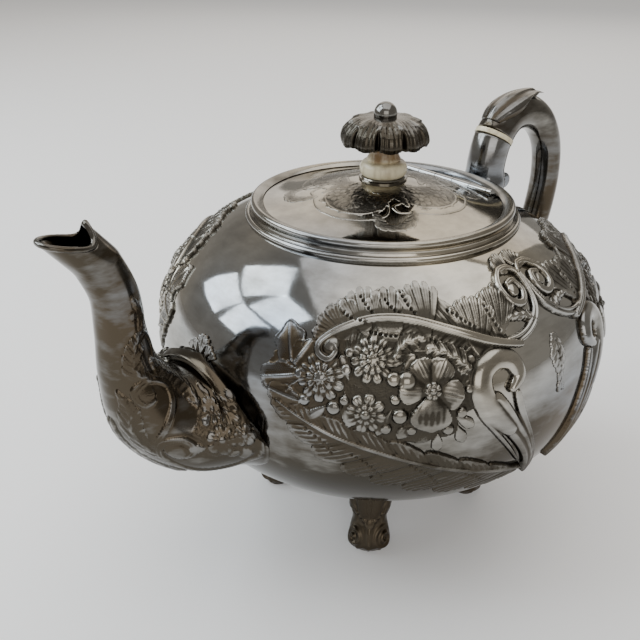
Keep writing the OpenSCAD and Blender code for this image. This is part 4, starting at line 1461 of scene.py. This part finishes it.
class TEAPOT_OT_stage(PieceMaker):
    """Lay the pale floor, hang the soft lights and set up the camera"""
    bl_idname = "teapot.stage"
    bl_label = "Stage"

    def execute(self, context):
        stage = context.scene.teapot_stage
        leave_edit()
        bpy.ops.mesh.primitive_plane_add(size=stage.floor)
        floor = context.object
        floor.name = floor.data.name = "floor"
        pale = Finish("Pale floor")
        pale.set(Base_Color=(0.86, 0.86, 0.86, 1), Roughness=0.9,
                 Emission_Color=(0.84, 0.86, 0.9, 1), Emission_Strength=0.16)
        floor.data.materials.append(pale.material)
        world = bpy.data.worlds.new("Studio")
        world.use_nodes = True
        world.node_tree.nodes["Background"].inputs["Color"].default_value = (0.50, 0.47, 0.42, 1)
        world.node_tree.nodes["Background"].inputs["Strength"].default_value = 0.74
        context.scene.world = world
        aim = (0, 0, 0.08)
        # a window of four panes, high on the left
        window = Vector((-0.52, 0.57, 0.76))
        facing = (Vector(aim) - window).normalized()
        across = facing.cross(Vector((0, 0, 1))).normalized()
        up = across.cross(facing)
        pane_w, pane_h, bar = 0.40, 0.36, 0.04
        for i, j in ((0, 0), (0, 1), (1, 0), (1, 1)):
            pane = (window + across * (pane_w + bar) / 2 * (2 * i - 1)
                    + up * (pane_h + bar) / 2 * (2 * j - 1))
            area_light(f"window_pane_{i}{j}", pane, aim, pane_w, pane_h, 2.4, DAYLIGHT)
        for name, at, width, height, power, tone in SOFT_LIGHTS:
            area_light(name, at, aim, width, height, power, tone)
        camera = bpy.data.cameras.new("camera")
        camera.lens, camera.sensor_width = stage.lens, 36.0
        camera.clip_start, camera.clip_end = 0.01, 50.0
        eye = bpy.data.objects.new("camera", camera)
        context.collection.objects.link(eye)
        at = Vector(stage.camera_at)
        level = Vector((-at.x, -at.y, 0)).normalized()
        c, s = math.cos(stage.heading), math.sin(stage.heading)
        level = Vector((level.x * c - level.y * s, level.x * s + level.y * c, 0))
        ahead = level * math.cos(stage.tilt) - Vector((0, 0, math.sin(stage.tilt)))
        right = ahead.cross(Vector((0, 0, 1))).normalized()
        up = right.cross(ahead)
        c, s = math.cos(stage.roll), math.sin(stage.roll)
        right, up = right * c + up * s, up * c - right * s
        eye.matrix_world = Matrix((
            (right.x, up.x, -ahead.x, at.x), (right.y, up.y, -ahead.y, at.y),
            (right.z, up.z, -ahead.z, at.z), (0, 0, 0, 1)))
        context.scene.camera = eye
        return {"FINISHED"}


MAKERS = (TEAPOT_OT_body, TEAPOT_OT_chasing, TEAPOT_OT_collar, TEAPOT_OT_lid, TEAPOT_OT_spout,
          TEAPOT_OT_handle, TEAPOT_OT_finial, TEAPOT_OT_feet, TEAPOT_OT_fittings,
          TEAPOT_OT_stage)


class TEAPOT_PT_panel(bpy.types.Panel):
    """The teapot's operators and settings"""
    bl_label = "Chased Silver Teapot"
    bl_space_type = "VIEW_3D"
    bl_region_type = "UI"
    bl_category = "Teapot"

    def draw(self, context):
        for maker in MAKERS:
            self.layout.operator(maker.bl_idname)
        for group in GROUPS:
            settings = getattr(context.scene, group)
            box = self.layout.box()
            for name in settings.bl_rna.properties.keys():
                if name not in ("rna_type", "name"):
                    box.prop(settings, name)


GROUPS = {"teapot_looks": TeapotLooks, "teapot_chasing": TeapotChasing,
          "teapot_stage": TeapotStage}


def register():
    for cls in (*GROUPS.values(), *MAKERS, TEAPOT_PT_panel):
        bpy.utils.register_class(cls)
    for name, cls in GROUPS.items():
        setattr(bpy.types.Scene, name, bpy.props.PointerProperty(type=cls))


def unregister():
    for name in GROUPS:
        delattr(bpy.types.Scene, name)
    for cls in reversed((*GROUPS.values(), *MAKERS, TEAPOT_PT_panel)):
        bpy.utils.unregister_class(cls)


def main():
    register()
    for maker in MAKERS:
        group, verb = maker.bl_idname.split(".")
        getattr(getattr(bpy.ops, group), verb)()


if __name__ == "__main__":
    main()
